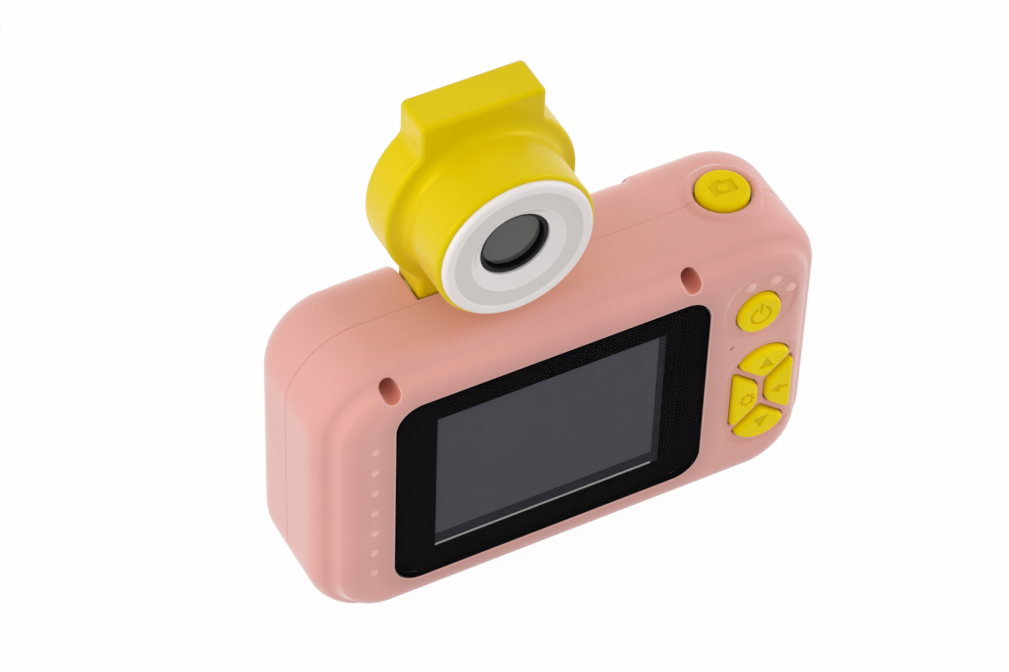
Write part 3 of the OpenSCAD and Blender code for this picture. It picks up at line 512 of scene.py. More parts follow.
def moulded(name, colour, rough=0.45, grain=2600, relief=0.015, shift=0.05, vary=0.06, gloss=0.5,
            metallic=0.0, sheen=0.0, shine=(1, 1, 1, 1)):
    """Moulded surface: soft changes of colour, uneven gloss and a fine spark-eroded grain."""
    material = bpy.data.materials.new(name)
    material.use_nodes = True
    tree = material.node_tree
    place = tree.nodes.new("ShaderNodeTexCoord").outputs["Object"]
    darker = [c * (1 - shift) for c in colour[:3]] + [1]
    paler = [min(1, c * (1 + shift)) for c in colour[:3]] + [1]
    clouds = spread(tree, noise(tree, place, CLOUD_SCALE, CLOUD_DETAIL), 0, 1)
    fine = noise(tree, place, grain, GRAIN_DETAIL)
    shader = fill(tree, tree.nodes["Principled BSDF"], {
        "Base Color": mixed(tree, clouds, darker, paler),
        "Roughness": spread(tree, fine, rough - vary, rough + vary),
        "Specular IOR Level": gloss, "Metallic": metallic, "Specular Tint": shine,
        "Sheen Weight": sheen, "Sheen Roughness": SHEEN_ROUGH,
    })
    if relief > 0:
        bump = added(tree, "Bump", {"Strength": GRAIN_STRENGTH, "Distance": relief * MM, "Height": fine})
        fill(tree, shader, {"Normal": bump})
    return material


def axes_of(tree, kind):
    """The three parts of a place or of a normal, in the space of the object."""
    place = tree.nodes.new("ShaderNodeTexCoord").outputs[kind]
    return fill(tree, tree.nodes.new("ShaderNodeSeparateXYZ"), {0: place}).outputs


def tint(material, share, colour, where=1):
    """Puts another colour where both shares are 1."""
    tree = material.node_tree
    base = tree.nodes["Principled BSDF"].inputs["Base Color"]
    both = calc(tree, "MULTIPLY", where, share)
    tree.links.new(mixed(tree, both, base.links[0].from_socket, colour), base)


def paint_sign_shade(material, axis, level, colour):
    """Painted shade: darkens the flat floors of the sunk signs, which lie at one level along an axis."""
    tree = material.node_tree
    facing = calc(tree, "ABSOLUTE", axes_of(tree, "Normal")[axis])
    flat = calc(tree, "GREATER_THAN", facing, FLAT_FACING)
    away = calc(tree, "SUBTRACT", axes_of(tree, "Object")[axis], level * MM)
    sunk = calc(tree, "LESS_THAN", calc(tree, "ABSOLUTE", away), SIGN_BAND * MM)
    tint(material, sunk, colour, flat)


def length_of(tree, first, second):
    """Length of a flat step given by its two parts."""
    squares = [calc(tree, "MULTIPLY", part, part) for part in (first, second)]
    return calc(tree, "SQRT", calc(tree, "ADD", *squares))


def ease_down(tree, value, start, fade):
    """Share that is 1 up to a first step past the start and falls to 0 at a second step."""
    full, none = ((start + step) * MM for step in fade)
    return added(tree, "MapRange", {"Value": value, "From Min": none, "From Max": full})


def away_from(tree, at):
    """Distance from a line along Y."""
    x, _, z = axes_of(tree, "Object")
    across = calc(tree, "SUBTRACT", x, at[0] * MM)
    up = calc(tree, "SUBTRACT", z, at[1] * MM)
    return length_of(tree, across, up)


def paint_case_light_and_shade(material, pale, panel_shade_colour, deep):
    """Painted highlights on the dots, toes, panel rim and strap hole edges; painted shade beside the panel
    and in the strap tunnels.
    """
    tree = material.node_tree
    x, y, z = axes_of(tree, "Object")
    rear = calc(tree, "LESS_THAN", y, REAR_FACE_FROM * MM)
    # Painted highlights: the raised dots and toes are paler, as where they catch the light
    for at, r in [(dot, DOT_R) for dot in DOTS] + [(toe, TOE_R) for toe in TOES]:
        fade = [share * r for share in DOT_HIGHLIGHT_FADE]
        tint(material, ease_down(tree, away_from(tree, at), 0, fade), pale, rear)
    parts = []
    for place, middle, half in ((x, PANEL[0], PANEL[2]), (z, PANEL[1], PANEL[3])):
        off = calc(tree, "ABSOLUTE", calc(tree, "SUBTRACT", place, middle * MM))
        past = calc(tree, "SUBTRACT", off, (half - PANEL_R) * MM)
        parts.append(calc(tree, "MAXIMUM", past, 0))
    away = length_of(tree, *parts)
    # Painted shade: the pink darkens towards the dark screen panel
    shade = calc(tree, "MULTIPLY", ease_down(tree, away, PANEL_R, PANEL_SHADE), PANEL_SHADE_SHARE)
    tint(material, shade, panel_shade_colour, rear)
    # Painted highlight: a pale line on the rounded lip round the panel
    tint(material, ease_down(tree, away, PANEL_R, PANEL_RIM_HIGHLIGHT), pale, rear)
    for at in STRAPS:
        away = away_from(tree, at)
        # Painted highlight: a pale ring on the rounded edge of each strap hole
        tint(material, ease_down(tree, away, STRAP_R, STRAP_EDGE_HIGHLIGHT), pale, rear)
        # Painted shade and reflected red light: a deeper red inside each strap tunnel
        tint(material, ease_down(tree, away, STRAP_R, STRAP_INSIDE_SHADE), deep)


def tint_label(material, colour):
    """Greyer flat band on the face of the lens ring."""
    tree = material.node_tree
    away = away_from(tree, (HEAD_X, LENS_Z))
    outside = calc(tree, "GREATER_THAN", away, RING_LABEL[0] * MM)
    inside = calc(tree, "LESS_THAN", away, RING_LABEL[1] * MM)
    tint(material, inside, colour, outside)


def paint_display_shade_and_highlight(material, rim, line):
    """Painted shade at the right and lower sides of the display cell, in place of the dark, shaded walls
    of the recess, and a painted highlight along its lower edge.
    """
    tree = material.node_tree
    x, _, z = axes_of(tree, "Object")
    right = calc(tree, "GREATER_THAN", x, DISPLAY_SHADE_X * MM)
    lower = calc(tree, "LESS_THAN", z, DISPLAY_SHADE_Z * MM)
    # Painted shade: the rim colour darkens the right and lower sides
    tint(material, calc(tree, "MAXIMUM", right, lower), rim)
    edge = calc(tree, "LESS_THAN", z, DISPLAY_HIGHLIGHT_Z * MM)
    # Painted highlight: the line colour is a pale line at the lower edge
    tint(material, calc(tree, "SUBTRACT", 1, right), line, edge)


def pane(name, gloss, paint):
    """Clear window plate that faces along Y, with its sides painted."""
    material = moulded(name, srgb(0, 0, 0), rough=PANE_ROUGH, relief=0, vary=0, gloss=gloss)
    tree = material.node_tree
    through = added(tree, "BsdfTransparent", {"Color": PANE_CLEAR})
    both = added(tree, "AddShader", {0: through, 1: tree.nodes["Principled BSDF"].outputs[0]})
    cover = added(tree, "BsdfDiffuse", {"Color": paint})
    facing = calc(tree, "ABSOLUTE", axes_of(tree, "Normal")[1])
    side = calc(tree, "LESS_THAN", facing, SIDE_FACING)
    show(tree, "Material Output", side, both, cover)
    return material


# Shapes as distance fields: negative inside, in millimetres


def smooth_min(a, b, soft):
    if soft <= 0:
        return np.minimum(a, b)
    share = np.clip(0.5 + 0.5 * (b - a) / soft, 0, 1)
    return b + (a - b) * share - soft * share * (1 - share)


def smooth_max(a, b, soft):
    return -smooth_min(-a, -b, soft)


def corner(a, b, r):
    """Two half spaces that meet in an outer edge of radius r."""
    outside = np.hypot(np.maximum(a + r, 0), np.maximum(b + r, 0))
    return np.minimum(np.maximum(a + r, b + r), 0) + outside - r


def rect(u, v, at, half, r):
    """Flat rounded rectangle."""
    return corner(np.abs(u - at[0]) - half[0], np.abs(v - at[1]) - half[1], r)


def disc(u, v, at, r):
    return np.hypot(u - at[0], v - at[1]) - r


def between(w, low, high):
    """Slab between two levels."""
    return np.abs(w - (low + high) / 2) - (high - low) / 2


class Field:
    """A block of grid points with the distance to the shape at each."""

    def __init__(self, low, high, steps):
        fine, coarse = steps
        step = fine
        self.step = step
        self.low = np.array(low, np.float32)
        self.axes = [np.arange(a, b + step, step, dtype=np.float32) for a, b in zip(low, high)]
        self.value = np.full([len(axis) for axis in self.axes], FAR, np.float32)

    def change(self, shape, how, soft, low=(-FAR, -FAR, -FAR), high=(FAR, FAR, FAR)):
        """Joins a shape to the grid points of a zone."""
        cuts = ()
        for axis, a, b in zip(self.axes, low, high):
            cuts += (slice(int(np.searchsorted(axis, a)), int(np.searchsorted(axis, b))),)
        x, y, z = np.ix_(*(axis[cut] for axis, cut in zip(self.axes, cuts)))
        self.value[cuts] = how(self.value[cuts], shape(x, y, z), soft)

    def add(self, shape, soft=0.0, **zone):
        self.change(shape, smooth_min, soft, **zone)

    def cut(self, shape, soft=0.0, **zone):
        self.change(lambda x, y, z: -shape(x, y, z), smooth_max, soft, **zone)

    def sample(self, points):
        """Distance and its slope at free points, between the grid points."""
        place = (points - self.low) / self.step
        base = np.clip(np.floor(place).astype(np.int64), 0, np.array(self.value.shape) - 2)
        part = (place - base).astype(np.float32)
        total = np.zeros(len(points), np.float32)
        slope = np.zeros((len(points), 3), np.float32)
        for i, j, k in np.ndindex(2, 2, 2):
            value = self.value[base[:, 0] + i, base[:, 1] + j, base[:, 2] + k]
            wx = part[:, 0] if i else 1 - part[:, 0]
            wy = part[:, 1] if j else 1 - part[:, 1]
            wz = part[:, 2] if k else 1 - part[:, 2]
            total += value * wx * wy * wz
            slope[:, 0] += value * (1 if i else -1) * wy * wz
            slope[:, 1] += value * (1 if j else -1) * wx * wz
            slope[:, 2] += value * (1 if k else -1) * wx * wy
        return total, slope / self.step

    def surface(self):
        """Points and four-sided faces of the zero level, one point in each crossed cell."""
        inside = self.value < 0
        count = np.zeros([n - 1 for n in inside.shape], np.int8)
        nx, ny, nz = count.shape
        for i, j, k in np.ndindex(2, 2, 2):
            count += inside[i:nx + i, j:ny + j, k:nz + k]
        cells = np.argwhere((count > 0) & (count < 8))
        number = np.full(count.shape, -1, np.int32)
        number[tuple(cells.T)] = np.arange(len(cells))
        points = self.crossings(cells)
        for _ in range(POINT_MOVES):
            distance, slope = self.sample(points)
            length = np.maximum((slope ** 2).sum(1), LEAST_SLOPE)
            move = -slope * (distance / length)[:, None]
            points = points + np.clip(move, -self.step / 2, self.step / 2)
        return points, self.quads(inside, number)

    def crossings(self, cells):
        """Mean of the points where a cell's edges cross the zero level."""
        total = np.zeros((len(cells), 3), np.float32)
        hits = np.zeros(len(cells), np.float32)
        for axis in range(3):
            others = [a for a in range(3) if a != axis]
            for a, b in np.ndindex(2, 2):
                start = cells.copy()
                start[:, others[0]] += a
                start[:, others[1]] += b
                end = start.copy()
                end[:, axis] += 1
                v0 = self.value[tuple(start.T)]
                v1 = self.value[tuple(end.T)]
                crossed = (v0 < 0) != (v1 < 0)
                share = np.where(crossed, v0 / np.where(crossed, v0 - v1, 1), 0)
                point = start.astype(np.float32)
                point[:, axis] += share
                total += point * crossed[:, None]
                hits += crossed
        return self.low + total / hits[:, None] * self.step

    def quads(self, inside, number):
        faces = []
        for axis in range(3):
            others = [(axis + 1) % 3, (axis + 2) % 3]
            size = inside.shape[axis]
            first = np.take(inside, range(0, size - 1), axis)
            second = np.take(inside, range(1, size), axis)
            edges = np.argwhere(first != second)
            edges = edges[(edges[:, others[0]] > 0) & (edges[:, others[1]] > 0)]
            limit = np.array(number.shape)
            for other in others:
                edges = edges[edges[:, other] < limit[other]]
            ring = []
            for a, b in ((0, 0), (1, 0), (1, 1), (0, 1)):
                cell = edges.copy()
                cell[:, others[0]] -= a
                cell[:, others[1]] -= b
                ring.append(number[tuple(cell.T)])
            ring = np.stack(ring, 1)
            leaves = first[tuple(edges.T)]
            ring[~leaves] = ring[~leaves][:, ::-1]
            faces.append(ring)
        return np.concatenate(faces)


def mesh_object(name, points, faces, material):
    """Mesh object in metres from arrays of points and faces of equal size."""
    corners = faces.shape[1]
    mesh = bpy.data.meshes.new(name)
    mesh.vertices.add(len(points))
    mesh.vertices.foreach_set("co", (points * MM).astype(np.float32).ravel())
    mesh.loops.add(faces.size)
    mesh.loops.foreach_set("vertex_index", faces.astype(np.int32).ravel())
    mesh.polygons.add(len(faces))
    mesh.polygons.foreach_set("loop_start", np.arange(0, faces.size, corners, dtype=np.int32))
    mesh.update(calc_edges=True)
    mesh.validate()
    mesh.materials.append(material)
    return in_scene(name, mesh)


def settle(piece, sharp=38):
    """Smooth shading that keeps flats flat and sharp edges sharp."""
    mesh = piece.data
    mesh.polygons.foreach_set("use_smooth", np.ones(len(mesh.polygons), bool))
    mesh.set_sharp_from_angle(angle=math.radians(sharp))
    weighted = piece.modifiers.new("even_shading", "WEIGHTED_NORMAL")
    weighted.keep_sharp = True
    weighted.weight = SHADE_WEIGHT


def lighten(piece, share):
    """Joins small faces on flat and gently curved parts, so that share of the faces is left."""
    reduce = piece.modifiers.new("lighten", "DECIMATE")
    reduce.ratio = share
    view = bpy.context.evaluated_depsgraph_get()
    mesh = bpy.data.meshes.new_from_object(piece.evaluated_get(view))
    mesh.name = piece.name
    old = piece.data
    piece.modifiers.remove(reduce)
    piece.data = mesh
    bpy.data.meshes.remove(old)


def field_piece(name, field, material, body, node):
    """Visible piece from a field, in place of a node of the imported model."""
    points, faces = field.surface()
    piece = mesh_object(name, points, faces, material)
    lighten(piece, FACES_KEPT)
    settle(piece)
    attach(piece, body)
    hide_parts(node)


# Forms of the case that several pieces share


def pillow(x, y, z, inset, depth, edge_r, corner_r):
    """Case half that ends at a given depth; y counts away from the parting line."""
    flat = rect(x, z, (0, BODY_H / 2), (BODY_W / 2 - inset, BODY_H / 2 - inset), corner_r)
    return corner(flat, y - depth, edge_r)


def rod(at, r, low, high):
    """Round bar along Y between two levels."""
    return lambda x, y, z: np.maximum(disc(x, z, at, r), between(y, low, high))


def slab(flat, low, high):
    """Plate with an outline in X and Z, between two levels along Y."""
    return lambda x, y, z: np.maximum(flat(x, z), between(y, low, high))


def overlap(first, second):
    """The part that two shapes share."""
    return lambda x, y, z: np.maximum(first(x, y, z), second(x, y, z))


def panel(sizes, grow, r):
    """Outline with rounded corners, from its middle and its half sizes."""
    return lambda x, z: rect(x, z, sizes[:2], [half + grow for half in sizes[2:]], r)


def nav_group(u, v, grow):
    """Outline round all four keys."""
    straight = np.maximum(np.abs(v) - NAV_HALF, 0)
    return np.hypot(u, straight) - NAV_R - grow


def nav_key(turn, grow, soft):
    """Outline of one key: turn 0 up, 1 left, 2 down, 3 right."""
    length = math.sqrt(1 + NAV_SLOPE ** 2)
    flip = 1 if turn < 2 else -1

    def outline(x, z):
        u = x - KEYS_AT[0]
        v = z - KEYS_AT[1]
        if turn % 2 == 0:
            sides = [(NAV_APEX + NAV_SLOPE * u - flip * v) / length,
                     (NAV_APEX - NAV_SLOPE * u - flip * v) / length]
        else:
            out = -flip * u
            sides = [(v - NAV_SLOPE * out - NAV_WAIST) / length,
                     (-v - NAV_SLOPE * out - NAV_WAIST) / length, NAV_MID - out]
        shape = nav_group(u, v, 0)
        for side in sides:
            shape = smooth_max(shape, side, soft)
        return shape - grow

    return outline


def nav_dish(x, z):
    """Outline of the shallow dish that the four keys stand in."""
    return nav_group(x - KEYS_AT[0], z - KEYS_AT[1], NAV_DISH)


def dome(at, face_y, r):
    """Low dome on a face that looks towards -Y."""
    rise = r * DOME_SHARE
    ball_r = (r * r + rise * rise) / (2 * rise)
    centre_y = face_y + ball_r - rise
    return lambda x, y, z: np.sqrt((x - at[0]) ** 2 + (y - centre_y) ** 2 + (z - at[1]) ** 2) - ball_r


def around(at, reach, low, high):
    """Zone of the grid round a feature that runs along Y."""
    return {"low": (at[0] - reach, low, at[1] - reach), "high": (at[0] + reach, high, at[1] + reach)}


def panel_zone(low, high):
    """Zone of the grid that holds the screen panel, between two levels along Y."""
    return {"low": (-42, low, 5), "high": (32, high, 62)}


SHUTTER_ZONE = {"low": (SHUTTER_X - 10, -10, BODY_H - 6), "high": (SHUTTER_X + 10, 10, BODY_H + 3)}


def shutter_rim(x, y, z):
    """Raised ring round the shutter button."""
    ring = np.hypot(x - SHUTTER_X, y) - RIM_ORBIT
    return np.hypot(ring, z - (BODY_H - RIM_SINK)) - RIM_R


def shutter_bore(x, y, z):
    return np.maximum(np.hypot(x - SHUTTER_X, y) - SHUTTER_R - KEY_GAP, SHUTTER_BORE_Z - z)


def shutter_pocket(x, y, z):
    """Room for the flange of the button under the curved top."""
    ring = np.hypot(x - SHUTTER_X, y) - SHUTTER_R - SHUTTER_FLANGE - KEY_GAP
    return np.maximum(ring, between(z, *SHUTTER_POCKET_Z))


def cut_shutter(field):
    field.cut(shutter_bore, soft=SHUTTER_BORE_SOFT, **SHUTTER_ZONE)
    field.cut(shutter_pocket, **SHUTTER_ZONE)


def shutter_shelf(x, y, z):
    """Shelf under the small board of the shutter."""
    shape = between(x, SHUTTER_X - SHELF_HALF, SHUTTER_X + SHELF_HALF)
    shape = np.maximum(shape, between(y, *SHELF_Y))
    return np.maximum(shape, between(z, *SHELF_Z))


def rear_outer(x, y, z):
    """Outside of the rear half: a shoulder and the raised face over it, with a soft groove between."""
    shoulder = pillow(x, -y, z, 0, HALF_D - SHOULDER_DROP, SHOULDER_R, CORNER_R)
    raised = pillow(x, -y, z, PLATEAU_INSET, HALF_D, PLATEAU_R, CORNER_R - PLATEAU_INSET)
    both = smooth_min(shoulder, raised, SHOULDER_SOFT)
    inset = -rect(x, z, (0, BODY_H / 2), (BODY_W / 2, BODY_H / 2), CORNER_R)
    groove = np.hypot(inset - GROOVE_AT[0], y - GROOVE_AT[1]) - GROOVE_R
    return smooth_max(both, -groove, GROOVE_SOFT)


def power_dish(x, y, z):
    """Recess round the power button, which runs out to nothing at its lower left."""
    along = (z - POWER_DISH_AT[1]) * POWER_DISH_LEAN[1] + (x - POWER_DISH_AT[0]) * POWER_DISH_LEAN[0]
    deep = POWER_DISH_T * np.clip(POWER_DISH_MIDDLE + along / POWER_DISH_R, 0, 1)
    return np.maximum(disc(x, z, POWER_DISH_AT, POWER_DISH_R), y + HALF_D - deep)


def mic_slit(x, z):
    """Outline of the slit in front of the microphone."""
    tilt = math.radians(MIC_TILT)
    u = (x - MIC_AT[0]) * math.cos(tilt) + (z - MIC_AT[1]) * math.sin(tilt)
    v = (z - MIC_AT[1]) * math.cos(tilt) - (x - MIC_AT[0]) * math.sin(tilt)
    return rect(u, v, (0, 0), MIC_HALF, MIC_R)


def add_rear_forms(field):
    """Bosses, sleeves, posts, the display frame and the raised dots of the rear half."""
    for at in CASE_SCREWS:
        field.add(overlap(rear_outer, rod(at, CASE_BOSS_R, *REAR_POST_Y)), **around(at, 4, -15.5, 0.5))
    for at in STRAPS:
        field.add(overlap(rear_outer, rod(at, STRAP_SLEEVE_R, *REAR_POST_Y)), **around(at, 5, -17, 0.5))
    for at in BOARD_SCREWS:
        field.add(rod(at, BOARD_POST_R, INNER_REAR_Y, Y_BOARD), **around(at, 4, -15.5, -9))
    lcd_frame = panel(LCD, LCD_GAP + LCD_FRAME, LCD_CORNER_R)
    field.add(slab(lcd_frame, INNER_REAR_Y, LCD_FRAME_Y), **panel_zone(-15.5, -12))
    field.add(shutter_rim, soft=RIM_SOFT, **SHUTTER_ZONE)
    for at in DOTS:
        field.add(dome(at, -HALF_D, DOT_R), soft=DOT_SOFT, **around(at, 3, REAR_ZONE_Y, -14))


def cut_rear_panel(field):
    """Seat of the screen panel, display opening and the openings of the keys."""
    seat = panel(PANEL, PANEL_GAP, PANEL_R)
    field.cut(slab(seat, -OUT, PANEL_DEPTH - HALF_D), soft=EDGE_SOFT, **panel_zone(REAR_ZONE_Y, -13))
    opening = panel(LCD, LCD_GAP, LCD_CORNER_R)
    field.cut(slab(opening, -OUT, -9), **panel_zone(REAR_ZONE_Y, -10))
    dish_zone = around(KEYS_AT, 17, REAR_ZONE_Y, -14)
    field.cut(slab(nav_dish, -OUT, NAV_DISH_T - HALF_D), soft=NAV_DISH_SOFT, **dish_zone)
    key_zone = around(KEYS_AT, 17, REAR_ZONE_Y, -11)
    for turn in range(4):
        hole = nav_key(turn, KEY_GAP, NAV_SOFT)
        field.cut(slab(hole, -OUT, KEY_HOLE_END), soft=KEY_HOLE_SOFT, **key_zone)
        pocket = nav_key(turn, KEY_FLANGE + KEY_GAP, NAV_SOFT)
        field.cut(slab(pocket, *KEY_POCKET_Y), **around(KEYS_AT, 17, -15, -11))
    power_zone = around(POWER_DISH_AT, 11, REAR_ZONE_Y, -11)
    field.cut(power_dish, soft=POWER_DISH_SOFT, **power_zone)
    for at in TOES:
        toe = dome(at, POWER_DISH_T - HALF_D, TOE_R)
        field.add(toe, soft=TOE_SOFT, **around(at, 4, REAR_ZONE_Y, -15))
    field.cut(rod(POWER_AT, POWER_R + KEY_GAP, -OUT, KEY_HOLE_END), soft=KEY_HOLE_SOFT, **power_zone)


def cut_rear_holes(field):
    """Shutter, strap and screw holes, microphone slit and the ports in the underside."""
    cut_shutter(field)
    for at in STRAPS:
        field.cut(rod(at, STRAP_R, -OUT, 5), soft=STRAP_SOFT[0], **around(at, 5, REAR_ZONE_Y, 2))
    for at in CASE_SCREWS:
        field.cut(rod(at, CASE_SCREW_R, -7, 5), **around(at, 3, -8, 2))
    for at in BOARD_SCREWS:
        field.cut(rod(at, BOARD_SCREW_R, -13.7, -9), **around(at, 3, -14.5, -9))
    field.cut(slab(mic_slit, -OUT, MIC_END_Y), **around(MIC_AT, 2, REAR_ZONE_Y, MIC_END_Y))
    for low_x, width, thick in PORTS:
        at = (low_x + width / 2, Y_BOARD_TOP + thick / 2)
        half = (width / 2 + PORT_GAP, thick / 2 + PORT_GAP)
        field.cut(lambda x, y, z: np.maximum(rect(x, y, at, half, PORT_R), z - PORT_END_Z),
                  soft=PORT_SOFT, low=(low_x - 2, -12, -1), high=(low_x + width + 2, -3, 5))


def make_rear_case(material):
    field = Field(*REAR_GRID, CASE_STEPS)
    field.add(rear_outer)
    field.cut(lambda x, y, z: pillow(x, -y, z, WALL, HALF_D - WALL, REAR_INNER_R, CORNER_R - WALL))
    add_rear_forms(field)
    field.cut(lambda x, y, z: -y, soft=SEAM_SOFT)
    cut_rear_panel(field)
    cut_rear_holes(field)
    field_piece("rear_case_skin", field, material, "root", "rear_case")


# Lens head forms


def head_outline(u, v):
    """Flat outline of the head: round plate, hump and foot, with rounded inside corners."""
    du = np.abs(u)
    dv = np.abs(v - LENS_V)
    hump = rect(u, v, (0, HUMP_V / 2), (FOOT_HALF, HUMP_V / 2), HUMP_EDGE_R)
    shape = np.minimum(np.hypot(du, dv) - HEAD_R, hump)
    centre_u = FOOT_HALF + HEAD_FILLET
    centre_v = math.sqrt((HEAD_R + HEAD_FILLET) ** 2 - centre_u ** 2)
    a = du - centre_u
    b = dv - centre_v
    in_corner = (b <= 0) & (centre_v * a - centre_u * b <= 0)
    return np.where(in_corner, np.minimum(shape, HEAD_FILLET - np.hypot(a, b)), shape)


def head_plate(x, y, z, grow, low, high, edge_r):
    """The head's outline as a plate that stands up from the hinge."""
    return corner(head_outline(x - HEAD_X, z - HINGE_Z) - grow, between(y, low, high), edge_r)


def folded_plate(x, y, z, grow, low):
    """The same outline folded down into the front, open towards +Y."""
    return np.maximum(head_outline(x - HEAD_X, HINGE_Z - z) - grow, low - y)


def recess_top(x, y, z, grow, low):
    """Wide upper part of the recess, beside the lugs."""
    half = (HEAD_R + SIDE_GAP + grow, OUT)
    return np.maximum(rect(x, z, (HEAD_X, HINGE_Z - LENS_V + OUT), half, 0), low - y)


def lug(x, y, z, side):
    """Round hinge lug beside the slot."""
    out = side * (x - HEAD_X) - FOOT_HALF - SIDE_GAP
    width = HEAD_R + SIDE_GAP + TUB_WALL - FOOT_HALF - SIDE_GAP
    return np.maximum(disc(y, z, (HINGE_Y, HINGE_Z), LUG_R), between(out, 0, width))


def hinge_rod(r, low, high):
    """Round bar on the hinge axis between two places along U."""
    return lambda x, y, z: np.maximum(disc(y, z, (HINGE_Y, HINGE_Z), r), between(x - HEAD_X, low, high))


def front_outer(x, y, z):
    """Outside of the front half, with the grip raised in a soft step."""
    share = np.clip((x - GRIP_X + GRIP_SOFT / 2) / GRIP_SOFT, 0, 1)
    depth = FRONT_D + (HALF_D - FRONT_D) * share * share * (3 - 2 * share)
    return pillow(x, y, z, 0, depth, FRONT_EDGE_R, CORNER_R)


def head_tub(x, y, z):
    """Walls and floor round the recess."""
    plate = folded_plate(x, y, z, SIDE_GAP + TUB_WALL, TUB_Y)
    return np.minimum(plate, recess_top(x, y, z, TUB_WALL, TUB_Y))


def head_recess(x, y, z):
    """Room for the folded head, without the hinge lugs, and the slot for its foot."""
    wide = np.minimum(folded_plate(x, y, z, SIDE_GAP, RECESS_Y), recess_top(x, y, z, 0, RECESS_Y))
    lugs = np.minimum(lug(x, y, z, 1), lug(x, y, z, -1))
    slot = rect(x, z, (HEAD_X, HINGE_Z + SLOT_RISE), (FOOT_HALF + SIDE_GAP, SLOT_HALF_V), 0)
    return np.minimum(np.maximum(wide, -lugs), np.maximum(slot, RECESS_Y - y))


def make_front_case(material):
    field = Field(*FRONT_GRID, CASE_STEPS)
    field.add(front_outer)
    field.cut(lambda x, y, z: pillow(x, y, z, WALL, FRONT_IN_Y, FRONT_EDGE_R - WALL, CORNER_R - WALL))
    head_zone = {"low": (-36, -0.7, 10), "high": (11, 17.4, 67.6)}
    speaker_zone = around(SPEAKER_AT, 9, 10, FRONT_ZONE_Y[1])
    field.add(overlap(front_outer, head_tub), **head_zone)
    for at, r in [(at, STRAP_SLEEVE_R) for at in STRAPS] + [(at, CASE_SEAT_R) for at in CASE_SCREWS]:
        field.add(overlap(front_outer, lambda x, y, z: disc(x, z, at, r)), **around(at, 5, *FRONT_ZONE_Y))
    field.add(overlap(front_outer, lambda x, y, z: np.maximum(
        disc(x, z, SPEAKER_AT, SPEAKER_R + SPEAKER_RIM), SPEAKER_SEAT_Y - y)), **speaker_zone)
    field.add(shutter_shelf, low=(30, -0.7, 51), high=(47, 16, 57))
    field.add(shutter_rim, soft=RIM_SOFT, **SHUTTER_ZONE)
    field.cut(lambda x, y, z: y, soft=SEAM_SOFT)

    field.cut(head_recess, soft=RECESS_SOFT, **head_zone)
    hinge_zone = {"low": (-40, 1, 56), "high": (14, 11, 67)}
    pin_end = FOOT_HALF + SIDE_GAP + PIN_REACH + RUN_GAP
    field.cut(hinge_rod(PIN_R + RUN_GAP, 0, pin_end), **hinge_zone)
    field.cut(hinge_rod(CABLE_PIN_R + RUN_GAP, -30, 0), **hinge_zone)
    field.cut(rod(SPEAKER_AT, SPEAKER_R - SPEAKER_RIM, 5, FRONT_IN_Y), **speaker_zone)
    for i in range(SOUND_COUNT):
        turn = math.radians(360 / SOUND_COUNT * i)
        at = (SPEAKER_AT[0] + SOUND_ORBIT * math.cos(turn), SPEAKER_AT[1] + SOUND_ORBIT * math.sin(turn))
        field.cut(rod(at, SOUND_R, 10, OUT), soft=SOUND_SOFT, **around(at, 2, 13, FRONT_ZONE_Y[1]))
    cut_shutter(field)
    for at in STRAPS:
        field.cut(rod(at, STRAP_R, -5, OUT), soft=STRAP_SOFT[1], **around(at, 5, *FRONT_ZONE_Y))
    for at in CASE_SCREWS:
        field.cut(rod(at, CASE_SCREW_R, -5, 15), **around(at, 3, *FRONT_ZONE_Y))
        head = rod(at, CASE_HEAD_R, CASE_HEAD_Y, 25)
        field.cut(head, soft=CASE_HEAD_SOFT, **around(at, 4, 9, FRONT_ZONE_Y[1]))
    field_piece("front_case_skin", field, material, "root", "front_case")


def make_head_shell(material):
    lens_at = (HEAD_X, LENS_Z)
    inner_y = PLATE_Y[0] + HEAD_WALL
    field = Field(*HEAD_GRID, HEAD_STEPS)
    field.add(lambda x, y, z: head_plate(x, y, z, 0, *PLATE_Y, PLATE_EDGE_R))
    field.add(lambda x, y, z: corner(
        disc(y, z, (HINGE_Y, HINGE_Z), HINGE_Y - PLATE_Y[0]), np.abs(x - HEAD_X) - FOOT_HALF, FOOT_EDGE_R))
    field.add(lambda x, y, z: corner(
        disc(x, z, lens_at, BARREL_R), between(y, BARREL_Y, inner_y), BARREL_EDGE_R), soft=BARREL_SOFT)
    field.cut(lambda x, y, z: np.maximum(
        head_plate(x, y, z, -HEAD_WALL, inner_y, OUT, 0), HINGE_Z + FOOT_SOLID - z), soft=HEAD_IN_SOFT)
    field.cut(rod(lens_at, BARREL_IN_R, BARREL_Y + BARREL_LIP_T, 4))
    field.cut(rod(lens_at, SPIGOT_R + SEAT_GAP, BARREL_Y - 3, 0))
    for at in HEAD_SCREWS:
        boss = rod(at, HEAD_BOSS_R, inner_y - HEAD_WALL / 2, PLATE_Y[1] - COVER_T)
        field.add(boss, **around(at, 3, 1.6, 9.6))
        field.cut(rod(at, HEAD_SCREW_R, 5.5, OUT), **around(at, 3, 4, 11))
    pin_zone = {"low": (-33.2, 0.5, 56.5), "high": (7.8, 11.2, 72)}
    field.cut(hinge_rod(PIN_R, FOOT_HALF - PIN_ROOT, OUT), **pin_zone)
    field.cut(hinge_rod(CABLE_PIN_R, -OUT, PIN_ROOT - FOOT_HALF), **pin_zone)
    field.cut(hinge_rod(CABLE_BORE_R, -PIN_ROOT, CABLE_U + CABLE_BORE_R), **pin_zone)
    cable_at = (HEAD_X + CABLE_U, HINGE_Y)
    field.cut(lambda x, y, z: np.maximum(
        disc(x, y, cable_at, CABLE_BORE_R), between(z, HINGE_Z, HINGE_Z + FOOT_SOLID + 1)), **pin_zone)
    field_piece("head_shell_skin", field, material, "head", "head_shell")


